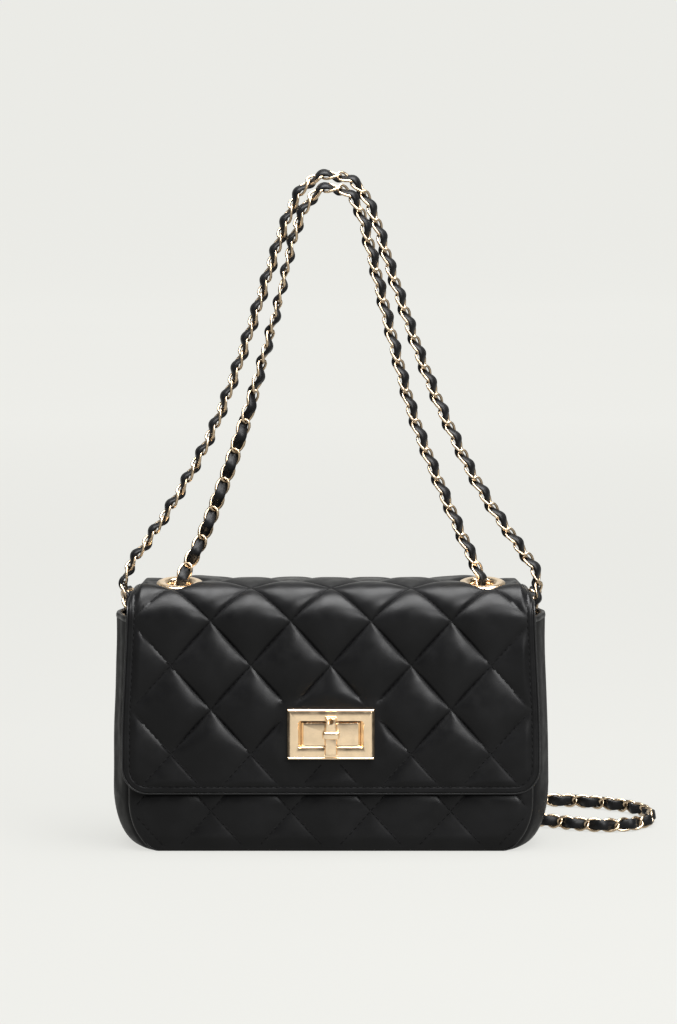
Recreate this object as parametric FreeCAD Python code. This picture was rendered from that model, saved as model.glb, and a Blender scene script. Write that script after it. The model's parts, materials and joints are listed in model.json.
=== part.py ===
"""Quilted shoulder bag with a flap, a turn lock and woven chain straps, in millimetres.

The bag stands on its base at z = 0, centred on x = 0 and y = 0. Its front faces -Y and +Z is up.
"""
import FreeCAD, Part
import math
import os

V = FreeCAD.Vector

# Body
SEAM_WIDTH = 214.0          # front panel, from seam to seam
STRIP_DEPTH = 60.0          # gusset strip, from front seam to back seam
GUSSET_BULGE = 8.0          # how far each gusset swells past the seams
GUSSET_TOP = 122.0          # height of a gusset below its binding
CORNER_RADIUS = 22.0        # bottom corners, seen from the front
FRONT_TOP = 112.0           # front panel below its binding
BACK_TOP = 124.0            # back panel, where the flap's top begins

# Layers
LEATHER = 1.2
BODY_PADDING = 2.8
FLAP_PADDING = 2.2
GUSSET_THICKNESS = 2.0
LINING = 0.8
FLAP_LINING = 0.6
BINDING_HEIGHT = 2.0
BOARD = 1.5
BOARD_MARGIN = 3.0          # between the base board and the corners
STRIP_SPANS = 3             # flat spans across the bulging gusset strip
LINING_FLATS = 5            # flats that stand for a bottom corner in the lining

# Flap
TOP_HEIGHT = 140.5
TOP_HALF_WIDTH = 103.0      # the top between the outer strap ends
FLAP_HALF_WIDTH = 110.0
FLAP_BOTTOM = 32.0
FLAP_CORNER = 13.0
FLAP_SHOULDER = 54.0        # where the flap starts to narrow towards the fold
FOLD_HALF_WIDTH = 105.2
FOLD_Y = -14.0              # fold line that the flap turns on
FOLD_GAP = 0.3
FRONT_FOLD_RADIUS = 15.5
BACK_FOLD_RADIUS = 15.0
FLAP_CLEARANCE = 1.5        # between the front panel and the flap's lining

# Quilting: diamonds that stand up as low pyramids between their seams
QUILT_ACROSS = 42.2
QUILT_TALL = 47.0
QUILT_HEIGHT = 2.2
QUILT_SEAM = 1.6            # flat strip along each seam
QUILT_MARGIN = 5.0          # flat margin along a panel's edges
QUILT_SUNK = 0.2            # how far a pyramid's foot lies inside the leather
FLAP_QUILT_Z = 100.0        # a crossing of the seams on the flap's middle line
BACK_QUILT_Z = 45.5         # the same on the back panel

# Eyelets and strap stops
ROUND_SIDES = 16            # flats that stand for a circle on the eyelets
EYELET_X = 80.5
EYELET_Y = 4.0
EYELET_RADIUS = 12.5
EYELET_HOLE_RADIUS = 6.3
EYELET_FLANGE = 1.2
EYELET_BARREL = 0.7
WASHER_RADIUS = 11.0
WASHER = 0.8
METAL_CLEARANCE = 0.15
STOP_WIRE = 2.6
STOP_LENGTH = 24.0

# Gusset rings and their tabs
RING_Y = 8.0
RING_WIDTH = 17.0
RING_RISE = 9.0             # from the middle of the lower bar to the middle of the upper bar
RING_WIRE = 2.0
RING_HEIGHT = 114.5         # the ring's lower bar
RING_CHAMFER = 0.5
TAB_WIDTH = 12.0
TAB_THICKNESS = 1.4
TAB_LENGTH = 18.0
TAB_SEAT_GAP = 0.3
FACET_ALLOWANCE = 0.7       # how far a flat span lies inside the gusset's true curve

# Turn lock
LOCK_HEIGHT = 64.0
PLATE_WIDTH = 46.0
PLATE_HEIGHT = 27.4
PLATE_THICKNESS = 3.0
PLATE_BEVEL = 1.6
WINDOW_WIDTH = 34.6
WINDOW_HEIGHT = 14.4
WINDOW_CORNER = 1.6
ISLAND_GAP = 0.9            # between the window's edge and the raised island
ISLAND_THICKNESS = 2.6
ISLAND_BEVEL = 1.1
BAR_LENGTH = 21.0
BAR_WIDTH = 6.9
BAR_NECK_WIDTH = 5.6        # at the tip of the upper lug
BAR_THICKNESS = 4.4
BAR_BEVEL = 0.9
BAR_CLEARANCE = 0.5
COLLAR_WIDTH = 9.3
COLLAR_HEIGHT = 4.3
COLLAR_STAND = 0.8          # how far the collar stands in front of the bar
PIN_RADIUS = 1.5
PIN_CLEARANCE = 0.05
PIN_HEAD_SIDE = 3.6         # square head that turns in a roomier square pocket
PIN_HEAD = 0.5
BACK_PLATE_WIDTH = 44.0
BACK_PLATE_HEIGHT = 19.0
BACK_PLATE = 0.6
PRONG_HEIGHT = 7.0
PRONG_THICKNESS = 1.0

# Hidden magnetic closure
MAGNET_WIDTH = 24.0
MAGNET_TALL = 10.0
MAGNET = 2.0
MAGNET_HEIGHT = 44.0
MAGNET_PROUD = 0.3

# Inner pocket
POCKET_WIDTH = 150.0
POCKET_BOTTOM = 22.0
POCKET_TOP = 92.0

# Woven chain: links of three-sided wire, each a quarter turn from the next, and a leather lace
LINK_PITCH = 8.25
LINK_WIRE = 1.5
LINK_WIDTH = 8.0
LINK_END_WIDTH = 4.6        # between the wire's middles at a link's blunt end
LINK_PLAY = 0.5
LINK_TWIST = 45.0           # how far the chain is turned from its ends, so that its links lie askew
TWIST_LINKS = 4             # links at each end that take up the twist
LACE_WIDTH = 5.0
LACE_THICKNESS = 1.6
LACE_SWING = 2.5            # how far the lace swings to each side of the chain's middle

# Strap routes, from the left end to the right end
OUTER_ROUTE = [
    (-107, 4.5, 122.5), (-110, 5.5, 131.5), (-111, 7.5, 140), (-106.5, 8, 149.5),
    (-97, 8, 162), (-80.5, 8, 187), (-62.5, 8, 220), (-50, 8, 253), (-40, 8, 283),
    (-30, 8, 314), (-22, 8.5, 337), (-14.5, 9, 351), (-4, 9.5, 357.5), (7, 9.5, 356.5),
    (16.5, 9, 349), (24, 8.5, 332), (31, 8, 308), (40.5, 8, 280), (50.5, 8, 251),
    (63, 8, 222), (78.5, 8, 190), (98.5, 8, 160.5), (108, 8, 148), (111, 7.5, 139.5),
    (110, 5.5, 131.5), (107, 4.5, 122.5)]
INNER_ROUTE = [
    (-80.5, 4, 133.1), (-80, 4, 141), (-76.5, 3.5, 148), (-68.5, 2.5, 162.5), (-56, 2, 195),
    (-44.5, 2, 228), (-35.5, 2, 260), (-27, 1.5, 291), (-21, 0.5, 320), (-15, -0.5, 338),
    (-6, -1, 349.5), (7, -1, 349.5), (15.5, -0.5, 339), (21, 0.5, 317), (27.5, 1.5, 290),
    (35.5, 2, 258), (43.5, 2, 228), (56, 2, 196), (70.5, 2.5, 162.5), (77.5, 3.5, 148),
    (80, 4, 141), (80.5, 4, 133.1)]
LONG_ROUTE = [
    (-107, 12, 122.5), (-107.2, 12.5, 132.5), (-107.5, 21, 142), (-107.8, 35, 141), (-107.5, 44.5, 129.5),
    (-105.5, 46, 112), (-102.5, 45, 90), (-100, 45, 66), (-97, 45.5, 42), (-91.5, 46.5, 21),
    (-79, 48.5, 8), (-61, 52, 3.5), (-39, 58, 3.5), (-14, 66.5, 3.5), (12, 77, 3.5),
    (40, 90, 3.5), (68, 102, 3.5), (95, 110, 3.5), (119, 112, 3.5), (139, 107.5, 3.5),
    (155, 98, 3.5), (168, 86.5, 3.5), (176.5, 70, 3.5), (177, 51, 3.5), (169, 35, 3.5),
    (154, 26, 3.5), (136, 29, 3.5), (117, 42.5, 3.5), (101, 49.5, 5), (90.5, 49, 14),
    (90, 46.5, 32), (95, 45.5, 54), (99.5, 45, 78), (103.5, 45, 101), (106, 46, 114),
    (107.5, 44.5, 130), (107.8, 34.5, 141), (107.5, 21, 142), (107.2, 12.5, 132.5), (107, 12, 122.5)]

# Places worked out from the sizes above
SEAM_Y = STRIP_DEPTH / 2
BODY_FRONT = -SEAM_Y - BODY_PADDING - LEATHER
FLAP_INSIDE = BODY_FRONT - FLAP_CLEARANCE
FLAP_THICKNESS = LEATHER + FLAP_PADDING + FLAP_LINING
FLAP_FRONT = FLAP_INSIDE - FLAP_THICKNESS
BACK_FACE = SEAM_Y + BODY_PADDING + LEATHER
TOP_UNDERSIDE = TOP_HEIGHT - FLAP_THICKNESS
INSIDE_FLOOR = GUSSET_THICKNESS + LINING
REACH = 4 * (SEAM_WIDTH + TOP_HEIGHT)   # longer than the bag, for cutting tools
PAST = LEATHER                          # how far a cutting tool runs past a face


def block(x0, x1, y0, y1, z0, z1):
    return Part.makeBox(x1 - x0, y1 - y0, z1 - z0, V(x0, y0, z0))


def rod(radius, start, end):
    along = V(*end) - V(*start)
    return Part.makeCylinder(radius, along.Length, V(*start), along)


def arc_edge(centre, radius, middle_angle, half_sweep, place):
    """Arc given by its centre and angles in degrees; place turns plane points into space."""
    angles = [math.radians(middle_angle + k * half_sweep) for k in (-1, 0, 1)]
    points = [place(centre[0] + radius * math.cos(a), centre[1] + radius * math.sin(a)) for a in angles]
    return Part.Arc(*points).toShape()


def cup_wire(half_width, bottom, top, radius, y, flats=0):
    """Outline seen from the front: straight sides and top, with round or flat-sided bottom corners."""
    def place(x, z):
        return V(x, y, z)

    def line(a, b):
        return Part.LineSegment(place(*a), place(*b)).toShape()

    def corner(x, middle_angle):
        if not flats:
            return [arc_edge((x, lift), radius, middle_angle, 45, place)]
        turns = [math.radians(middle_angle - 45 + 90 * i / flats) for i in range(flats + 1)]
        points = [(x + radius * math.cos(a), lift + radius * math.sin(a)) for a in turns]
        return [line(a, b) for a, b in zip(points, points[1:])]

    inner, lift = half_width - radius, bottom + radius
    return Part.Wire(
        [line((-half_width, top), (-half_width, lift))]
        + corner(-inner, 225)
        + [line((-inner, bottom), (inner, bottom))]
        + corner(inner, 315)
        + [line((half_width, lift), (half_width, top)), line((half_width, top), (-half_width, top))])


def cup_slab(half_width, bottom, top, radius, y0, y1, flats=0):
    face = Part.Face(cup_wire(half_width, bottom, top, radius, y0, flats))
    return face.extrude(V(0, y1 - y0, 0))


def side_half_width(y, inset):
    swell = GUSSET_BULGE * (1 - (y / SEAM_Y) ** 2)
    return SEAM_WIDTH / 2 + swell - inset


def body_core(inset, top, flats=0):
    """The body's filled form inside the gusset strip, drawn in by inset."""
    places = [SEAM_Y * (2 * i / STRIP_SPANS - 1) for i in range(STRIP_SPANS + 1)]
    wires = [cup_wire(side_half_width(y, inset), inset, top, CORNER_RADIUS - inset, y, flats) for y in places]
    return Part.makeLoft(wires, True, True)


def strip_pieces(inset, thickness, top, flats=0):
    """Left side, base and right side of a strip that runs round the body."""
    strip = body_core(inset, top, flats).cut(body_core(inset + thickness, top + CORNER_RADIUS, flats))
    inner = SEAM_WIDTH / 2 - CORNER_RADIUS
    middle = block(-inner, inner, -REACH, REACH, -REACH, GUSSET_TOP / 2)
    base = strip.common(middle)
    sides = strip.cut(middle)
    left = sides.common(block(-REACH, 0, -REACH, REACH, -REACH, REACH))
    right = sides.common(block(0, REACH, -REACH, REACH, -REACH, REACH))
    return left, base, right


def gusset_binding(side):
    """Turned edge that caps a gusset and its lining."""
    cap = body_core(0, GUSSET_TOP + BINDING_HEIGHT).cut(
        body_core(GUSSET_THICKNESS + LINING, GUSSET_TOP + BINDING_HEIGHT + CORNER_RADIUS))
    x0, x1 = (-REACH, 0) if side < 0 else (0, REACH)
    return cap.common(block(x0, x1, -REACH, REACH, GUSSET_TOP, REACH))


def bent_wire(inset, radius, face_y, toward, start_y, end_z):
    """Edges of one bent surface: along the top, round the fold, then down the face."""
    def place(y, z):
        return V(0, y, z)

    z = TOP_HEIGHT - inset
    bend_y = face_y - toward * radius
    bend_z = TOP_HEIGHT - radius
    outer_y = face_y - toward * inset
    middle = 45 if toward > 0 else 135
    top = Part.LineSegment(place(start_y, z), place(bend_y, z)).toShape()
    bend = arc_edge((bend_y, bend_z), radius - inset, middle, 45, place)
    drop = Part.LineSegment(place(outer_y, bend_z), place(outer_y, end_z)).toShape()
    return [top, bend, drop], place(start_y, z), place(outer_y, end_z)


def bent_layer(outer, inner, radius, face_y, toward, start_y, end_z, half_width):
    """One layer of a bent sheet, between two depths below its outer surface."""
    near, near_start, near_end = bent_wire(outer, radius, face_y, toward, start_y, end_z)
    far, far_start, far_end = bent_wire(inner, radius, face_y, toward, start_y, end_z)
    caps = [Part.LineSegment(near_start, far_start).toShape(), Part.LineSegment(near_end, far_end).toShape()]
    outline = Part.Wire(Part.__sortEdges__(near + far + caps))
    sheet = Part.Face(outline).extrude(V(2 * half_width, 0, 0))
    sheet.translate(V(-half_width, 0, 0))
    return sheet


def flap_outline():
    """Flap seen from the front: round bottom corners, and shoulders that narrow to the fold."""
    body = cup_slab(FLAP_HALF_WIDTH, FLAP_BOTTOM, FLAP_SHOULDER, FLAP_CORNER, FLAP_FRONT - PAST, FOLD_Y + PAST)
    y = FLAP_FRONT - PAST
    shoulder_points = [
        V(-FLAP_HALF_WIDTH, y, FLAP_SHOULDER), V(FLAP_HALF_WIDTH, y, FLAP_SHOULDER),
        V(FOLD_HALF_WIDTH, y, TOP_HEIGHT), V(-FOLD_HALF_WIDTH, y, TOP_HEIGHT)]
    wire = Part.makePolygon(shoulder_points + shoulder_points[:1])
    shoulder = Part.Face(wire).extrude(V(0, FOLD_Y + PAST - y, 0))
    return body.fuse(shoulder).removeSplitter()


def quilt_pad(x, z, face_y, outward):
    """One diamond of the quilting, as a low pyramid on a face."""
    spacing = QUILT_ACROSS * QUILT_TALL / math.hypot(QUILT_ACROSS, QUILT_TALL)
    share = (1 - QUILT_SEAM / spacing) / 2
    wide, tall, foot = share * QUILT_ACROSS, share * QUILT_TALL, face_y - outward * QUILT_SUNK
    corners = [V(x - wide, foot, z), V(x, foot, z - tall), V(x + wide, foot, z), V(x, foot, z + tall)]
    peak = V(x, face_y + outward * QUILT_HEIGHT, z)
    faces = [Part.Face(Part.makePolygon(corners + corners[:1]))]
    for a, b in zip(corners, corners[1:] + corners[:1]):
        faces.append(Part.Face(Part.makePolygon([a, b, peak, a])))
    pad = Part.makeSolid(Part.makeShell(faces))
    return pad if pad.Volume > 0 else pad.reversed()


def quilted(panel, face_y, outward, crossing_z, field):
    """Panel with the diamonds that lie inside a field of its face."""
    columns = math.ceil(SEAM_WIDTH / QUILT_ACROSS) + 1
    rows = math.ceil(2 * TOP_HEIGHT / QUILT_TALL) + 1
    pads = []
    for m in range(-columns, columns + 1):
        for n in range(-rows, rows + 1):
            if (m + n) % 2:
                pad = quilt_pad(m * QUILT_ACROSS / 2, crossing_z + n * QUILT_TALL / 2, face_y, outward)
                pads += pad.common(field).Solids
    return panel.fuse(pads)


def flap_field():
    """Part of the flap's face that is quilted: inside its margins and round the lock."""
    y0, y1 = FLAP_FRONT - 2 * QUILT_HEIGHT, FLAP_FRONT + LEATHER
    wide, tall = PLATE_WIDTH / 2 + QUILT_SEAM, PLATE_HEIGHT / 2 + QUILT_SEAM
    lock = block(-wide, wide, y0, y1, LOCK_HEIGHT - tall, LOCK_HEIGHT + tall)
    top = TOP_HEIGHT - FRONT_FOLD_RADIUS
    return cup_slab(FOLD_HALF_WIDTH - QUILT_MARGIN, FLAP_BOTTOM + QUILT_MARGIN, top, FLAP_CORNER - QUILT_MARGIN,
                    y0, y1, LINING_FLATS).cut(lock)


def back_field():
    return cup_slab(SEAM_WIDTH / 2 - QUILT_MARGIN, QUILT_MARGIN, BACK_TOP - QUILT_MARGIN, CORNER_RADIUS - QUILT_MARGIN,
                    BACK_FACE - LEATHER, BACK_FACE + 2 * QUILT_HEIGHT, LINING_FLATS)


def flap_layer(outer, inner):
    sheet = bent_layer(outer, inner, FRONT_FOLD_RADIUS, FLAP_FRONT, -1, FOLD_Y, FLAP_BOTTOM, FLAP_HALF_WIDTH)
    return sheet.common(flap_outline())


def top_layer(outer, inner):
    sheet = bent_layer(outer, inner, BACK_FOLD_RADIUS, BACK_FACE, 1, FOLD_Y + FOLD_GAP, BACK_TOP, TOP_HALF_WIDTH)
    for side in (-1, 1):
        sheet = sheet.cut(flat_sided(side, barrel_radius() + METAL_CLEARANCE, -BACK_FOLD_RADIUS, BACK_FOLD_RADIUS))
    return sheet


def barrel_radius():
    return EYELET_HOLE_RADIUS + EYELET_BARREL


def flat_sided_wire(side, radius, z):
    """Many-sided outline round an eyelet's middle; z is measured from the flap's top."""
    turns = [2 * math.pi * i / ROUND_SIDES for i in range(ROUND_SIDES + 1)]
    return Part.makePolygon([V(side * EYELET_X + radius * math.cos(a), EYELET_Y + radius * math.sin(a),
                               TOP_HEIGHT + z) for a in turns])


def flat_sided(side, radius, z0, z1):
    return Part.Face(flat_sided_wire(side, radius, z0)).extrude(V(0, 0, z1 - z0))


def flap_holes():
    """Slots in the flap for the lock's prongs."""
    slots = [prong(side, FLAP_FRONT - PAST, FLAP_INSIDE + PAST, METAL_CLEARANCE) for side in (-1, 1)]
    return Part.makeCompound(slots)


def prong(side, y0, y1, clearance):
    """Flat prong behind one side of the lock plate's frame."""
    x = side * (PLATE_WIDTH + WINDOW_WIDTH) / 4
    wide, tall = PRONG_THICKNESS / 2 + clearance, PRONG_HEIGHT / 2 + clearance
    return block(x - wide, x + wide, y0, y1, LOCK_HEIGHT - tall, LOCK_HEIGHT + tall)


def magnet_block(y0, y1, clearance):
    wide, tall = MAGNET_WIDTH / 2 + clearance, MAGNET_TALL / 2 + clearance
    return block(-wide, wide, y0, y1, MAGNET_HEIGHT - tall, MAGNET_HEIGHT + tall)


def eyelet(side):
    """Flat flange with a softened rim, and the barrel that goes through the flap's top."""
    soft = EYELET_FLANGE / 2
    bottom = -FLAP_THICKNESS - WASHER
    rim = [(EYELET_RADIUS, 0), (EYELET_RADIUS, soft), (EYELET_RADIUS - soft, EYELET_FLANGE)]
    flange = Part.makeLoft([flat_sided_wire(side, radius, z) for radius, z in rim], True, True)
    barrel = flat_sided(side, barrel_radius(), bottom, soft)
    hole = flat_sided(side, EYELET_HOLE_RADIUS, bottom, EYELET_FLANGE)
    return flange.fuse(barrel).cut(hole).removeSplitter()


def eyelet_washer(side):
    top = -FLAP_THICKNESS
    disc = flat_sided(side, WASHER_RADIUS, top - WASHER, top)
    return disc.cut(flat_sided(side, barrel_radius() + METAL_CLEARANCE, top - WASHER, top))


def strap_stop(side):
    """Bar under the eyelet that keeps the strap's end from pulling through."""
    x, half = side * EYELET_X, STOP_WIRE / 2
    top = TOP_UNDERSIDE - WASHER
    return block(x - half, x + half, EYELET_Y - STOP_LENGTH / 2, EYELET_Y + STOP_LENGTH / 2, top - STOP_WIRE, top)


def ring_x():
    """Middle of the ring's bars, beside the gusset's lining."""
    wall = side_half_width(RING_Y + TAB_WIDTH / 2, GUSSET_THICKNESS + LINING) - FACET_ALLOWANCE
    return wall - TAB_SEAT_GAP - TAB_THICKNESS - PIN_CLEARANCE - RING_WIRE / 2


def gusset_ring(side):
    """Flat wire ring that stands in its tab; the straps hook round its upper bar."""
    x, half = side * ring_x(), RING_WIRE / 2
    outer = block(x - half, x + half, RING_Y - RING_WIDTH / 2, RING_Y + RING_WIDTH / 2,
                  RING_HEIGHT - half, RING_HEIGHT + RING_RISE + half)
    corners = [e for e in outer.Edges if abs(e.tangentAt(e.FirstParameter).x) > 0.9]
    outer = outer.makeChamfer(RING_CHAMFER, corners)
    inner = RING_WIDTH / 2 - RING_WIRE
    return outer.cut(block(x - RING_WIRE, x + RING_WIRE, RING_Y - inner, RING_Y + inner,
                           RING_HEIGHT + half, RING_HEIGHT + RING_RISE - half))


def ring_tab(side):
    """Leather tab sewn to the gusset's lining and turned round the ring's lower bar."""
    x, half = side * ring_x(), TAB_WIDTH / 2
    bore = RING_WIRE / 2 + PIN_CLEARANCE
    wrap = bore + TAB_THICKNESS
    y0, y1 = RING_Y - half, RING_Y + half
    loop = block(x - wrap, x + wrap, y0, y1, RING_HEIGHT - wrap, RING_HEIGHT + wrap)
    x0, x1 = sorted((x + side * bore, x + side * wrap))
    tail = block(x0, x1, y0, y1, RING_HEIGHT - TAB_LENGTH, RING_HEIGHT)
    return loop.fuse(tail).cut(block(x - bore, x + bore, y0, y1, RING_HEIGHT - bore, RING_HEIGHT + bore))


def bevelled(width, height, thickness, bevel, back_y):
    """Plate on the flap whose front edges slope in by the bevel."""
    def outline(inset, y):
        w, h = width / 2 - inset, height / 2 - inset
        corners = [V(-w, y, LOCK_HEIGHT - h), V(w, y, LOCK_HEIGHT - h), V(w, y, LOCK_HEIGHT + h),
                   V(-w, y, LOCK_HEIGHT + h)]
        return Part.makePolygon(corners + corners[:1])

    shoulder = back_y - thickness + bevel
    lower = Part.Face(outline(0, back_y)).extrude(V(0, shoulder - back_y, 0))
    upper = Part.makeLoft([outline(0, shoulder), outline(bevel, back_y - thickness)], True, True)
    return lower.fuse(upper).removeSplitter()


def lock_plate():
    plate = bevelled(PLATE_WIDTH, PLATE_HEIGHT, PLATE_THICKNESS, PLATE_BEVEL, FLAP_FRONT)
    window = block(-WINDOW_WIDTH / 2, WINDOW_WIDTH / 2, FLAP_FRONT - 2 * PLATE_THICKNESS, FLAP_FRONT + PAST,
                   LOCK_HEIGHT - WINDOW_HEIGHT / 2, LOCK_HEIGHT + WINDOW_HEIGHT / 2)
    upright = [e for e in window.Edges if abs(e.tangentAt(e.FirstParameter).y) > 0.9]
    return plate.cut(window.makeFillet(WINDOW_CORNER, upright))


def lock_island():
    """Raised island with the pin's hole, and a pocket behind it for the pin's head."""
    island = bevelled(WINDOW_WIDTH - 2 * ISLAND_GAP, WINDOW_HEIGHT - 2 * ISLAND_GAP, ISLAND_THICKNESS,
                      ISLAND_BEVEL, FLAP_FRONT)
    bore = rod(PIN_RADIUS + PIN_CLEARANCE, (0, FLAP_FRONT - 2 * ISLAND_THICKNESS, LOCK_HEIGHT),
               (0, FLAP_FRONT, LOCK_HEIGHT))
    pocket = square_about_pin(PIN_HEAD_SIDE / math.sqrt(2) + METAL_CLEARANCE,
                              pin_head_front() - PIN_CLEARANCE, FLAP_FRONT)
    return island.cut(bore).cut(pocket)


def pin_head_front():
    return FLAP_FRONT - PIN_HEAD - METAL_CLEARANCE


def square_about_pin(half, y0, y1):
    return block(-half, half, y0, y1, LOCK_HEIGHT - half, LOCK_HEIGHT + half)


def lock_back_plate():
    h = BACK_PLATE_HEIGHT / 2
    return block(-BACK_PLATE_WIDTH / 2, BACK_PLATE_WIDTH / 2, FLAP_INSIDE, FLAP_INSIDE + BACK_PLATE,
                 LOCK_HEIGHT - h, LOCK_HEIGHT + h)


def lock_prongs():
    return Part.makeCompound([prong(side, FLAP_FRONT, FLAP_INSIDE, 0) for side in (-1, 1)])


def bar_back():
    return FLAP_FRONT - PLATE_THICKNESS - BAR_CLEARANCE


def turn_bar():
    """Upright bar with a plain lower lug, a tapered upper lug and a wider collar between them."""
    half, neck = BAR_WIDTH / 2, BAR_NECK_WIDTH / 2
    low, high = LOCK_HEIGHT - BAR_LENGTH / 2, LOCK_HEIGHT + BAR_LENGTH / 2
    back, front = bar_back(), bar_back() - BAR_THICKNESS
    points = [V(-half, back, low), V(half, back, low), V(half, back, LOCK_HEIGHT), V(neck, back, high),
              V(-neck, back, high), V(-half, back, LOCK_HEIGHT)]
    bar = Part.Face(Part.makePolygon(points + points[:1])).extrude(V(0, -BAR_THICKNESS, 0))
    rim = [e for e in bar.Edges if abs(e.CenterOfMass.y - front) < BAR_CLEARANCE / 2]
    bar = bar.makeChamfer(BAR_BEVEL, rim)
    collar = block(-COLLAR_WIDTH / 2, COLLAR_WIDTH / 2, front - COLLAR_STAND, back,
                   LOCK_HEIGHT - COLLAR_HEIGHT / 2, LOCK_HEIGHT + COLLAR_HEIGHT / 2)
    stand = front - COLLAR_STAND
    collar_rim = [e for e in collar.Edges if abs(e.CenterOfMass.y - stand) < BAR_BEVEL / 2]
    collar = collar.makeChamfer(COLLAR_STAND, collar_rim)
    bore = rod(PIN_RADIUS, (0, back + PAST, LOCK_HEIGHT), (0, back - BAR_THICKNESS / 2, LOCK_HEIGHT))
    return bar.fuse(collar).cut(bore).removeSplitter()


def turn_pin():
    """Pin pressed into the bar; its head turns in the pocket behind the island."""
    start = pin_head_front()
    shank = rod(PIN_RADIUS, (0, bar_back() - BAR_THICKNESS / 2, LOCK_HEIGHT), (0, start, LOCK_HEIGHT))
    head = square_about_pin(PIN_HEAD_SIDE / 2, start, start + PIN_HEAD)
    return shank.fuse(head).removeSplitter()


def link_solid():
    """One barrel-shaped link along X in the XY plane: flat inside, with a ridge round its outside."""
    reach = (LINK_PITCH + LINK_WIRE + LINK_PLAY) / 2
    waist, blunt, half = (LINK_WIDTH - LINK_WIRE) / 2, LINK_END_WIDTH / 2, LINK_WIRE / 2
    middle = [V(reach, -blunt, 0), V(reach, blunt, 0), V(0, waist, 0), V(-reach, blunt, 0),
              V(-reach, -blunt, 0), V(0, -waist, 0)]
    count = len(middle)

    def normal(k):
        edge = middle[(k + 1) % count] - middle[k % count]
        return V(edge.y, -edge.x, 0).normalize()

    def ring(grow, z):
        corners = []
        for k in range(count):
            before, after = normal(k - 1), normal(k)
            corners.append(middle[k] + (before + after) * (grow / (1 + before.dot(after))) + V(0, 0, z))
        return corners

    ridge, upper, lower = ring(half, 0), ring(-half, half), ring(-half, -half)
    faces = []
    for k in range(count):
        n = (k + 1) % count
        for a, b in ((ridge, upper), (upper, lower), (lower, ridge)):
            faces.append(Part.Face(Part.makePolygon([a[k], a[n], b[n], b[k], a[k]])))
    return Part.makeSolid(Part.makeShell(faces))


def route_stations(route):
    """Places a link apart along the route's smooth curve, with each place's direction and facing."""
    poles = [V(*point) for point in route]
    spans = len(poles) - 2
    curve = Part.BSplineCurve()
    curve.buildFromPolesMultsKnots(poles, [3] + [1] * (spans - 1) + [3], list(range(spans + 1)), False, 2)
    length = curve.length()
    count = 2 * int(length / LINK_PITCH / 2) + 1
    step = length / count
    stations, facing = [], V(0, -1, 0)
    for i in range(2 * count + 1):
        u = curve.parameterAtDistance(i * step / 2) if i else curve.FirstParameter
        along = curve.tangent(u)[0]
        facing = (facing - along * facing.dot(along)).normalize()
        stations.append((curve.value(u), along, V(facing)))
    return stations, count, length


def chain_links(route):
    """Links along a route, each a quarter turn from the next. Both end links hook their bars square."""
    stations, count, length = route_stations(route)
    link = link_solid()
    links = []
    for i in range(count):
        middle, along, facing = stations[2 * i + 1]
        frame = FreeCAD.Rotation(along, facing.cross(along), facing, "XZY")
        twist = LINK_TWIST * min(1, i / TWIST_LINKS, (count - 1 - i) / TWIST_LINKS)
        roll = FreeCAD.Rotation(V(1, 0, 0), 90 * (i % 2) - twist)
        copy = link.copy()
        copy.Placement = FreeCAD.Placement(middle, frame.multiply(roll))
        links.append(copy)
    print("route length", round(length, 1), "mm with", count, "links")
    return Part.makeCompound(links)


def lace_solid(route):
    """Leather lace that passes from one face of the chain to the other through every link."""
    stations, count, _ = route_stations(route)
    rings = []
    for i in range(1, count):
        middle, along, facing = stations[2 * i]
        side = 1 if i % 2 else -1
        across = facing.cross(along)
        centre = middle + facing * (side * LACE_SWING)
        rings.append([centre + across * (w * LACE_WIDTH / 2) + facing * (t * LACE_THICKNESS / 2)
                      for w, t in ((-1, -1), (1, -1), (1, 1), (-1, 1))])

    def triangle(a, b, c):
        return Part.Face(Part.makePolygon([a, b, c, a]))

    faces = []
    for first, second in zip(rings, rings[1:]):
        for k in range(4):
            n = (k + 1) % 4
            faces += [triangle(first[k], first[n], second[n]), triangle(first[k], second[n], second[k])]
    for end in (rings[0], rings[-1]):
        faces += [triangle(end[0], end[1], end[2]), triangle(end[0], end[2], end[3])]
    return Part.makeSolid(Part.makeShell(faces))


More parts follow.
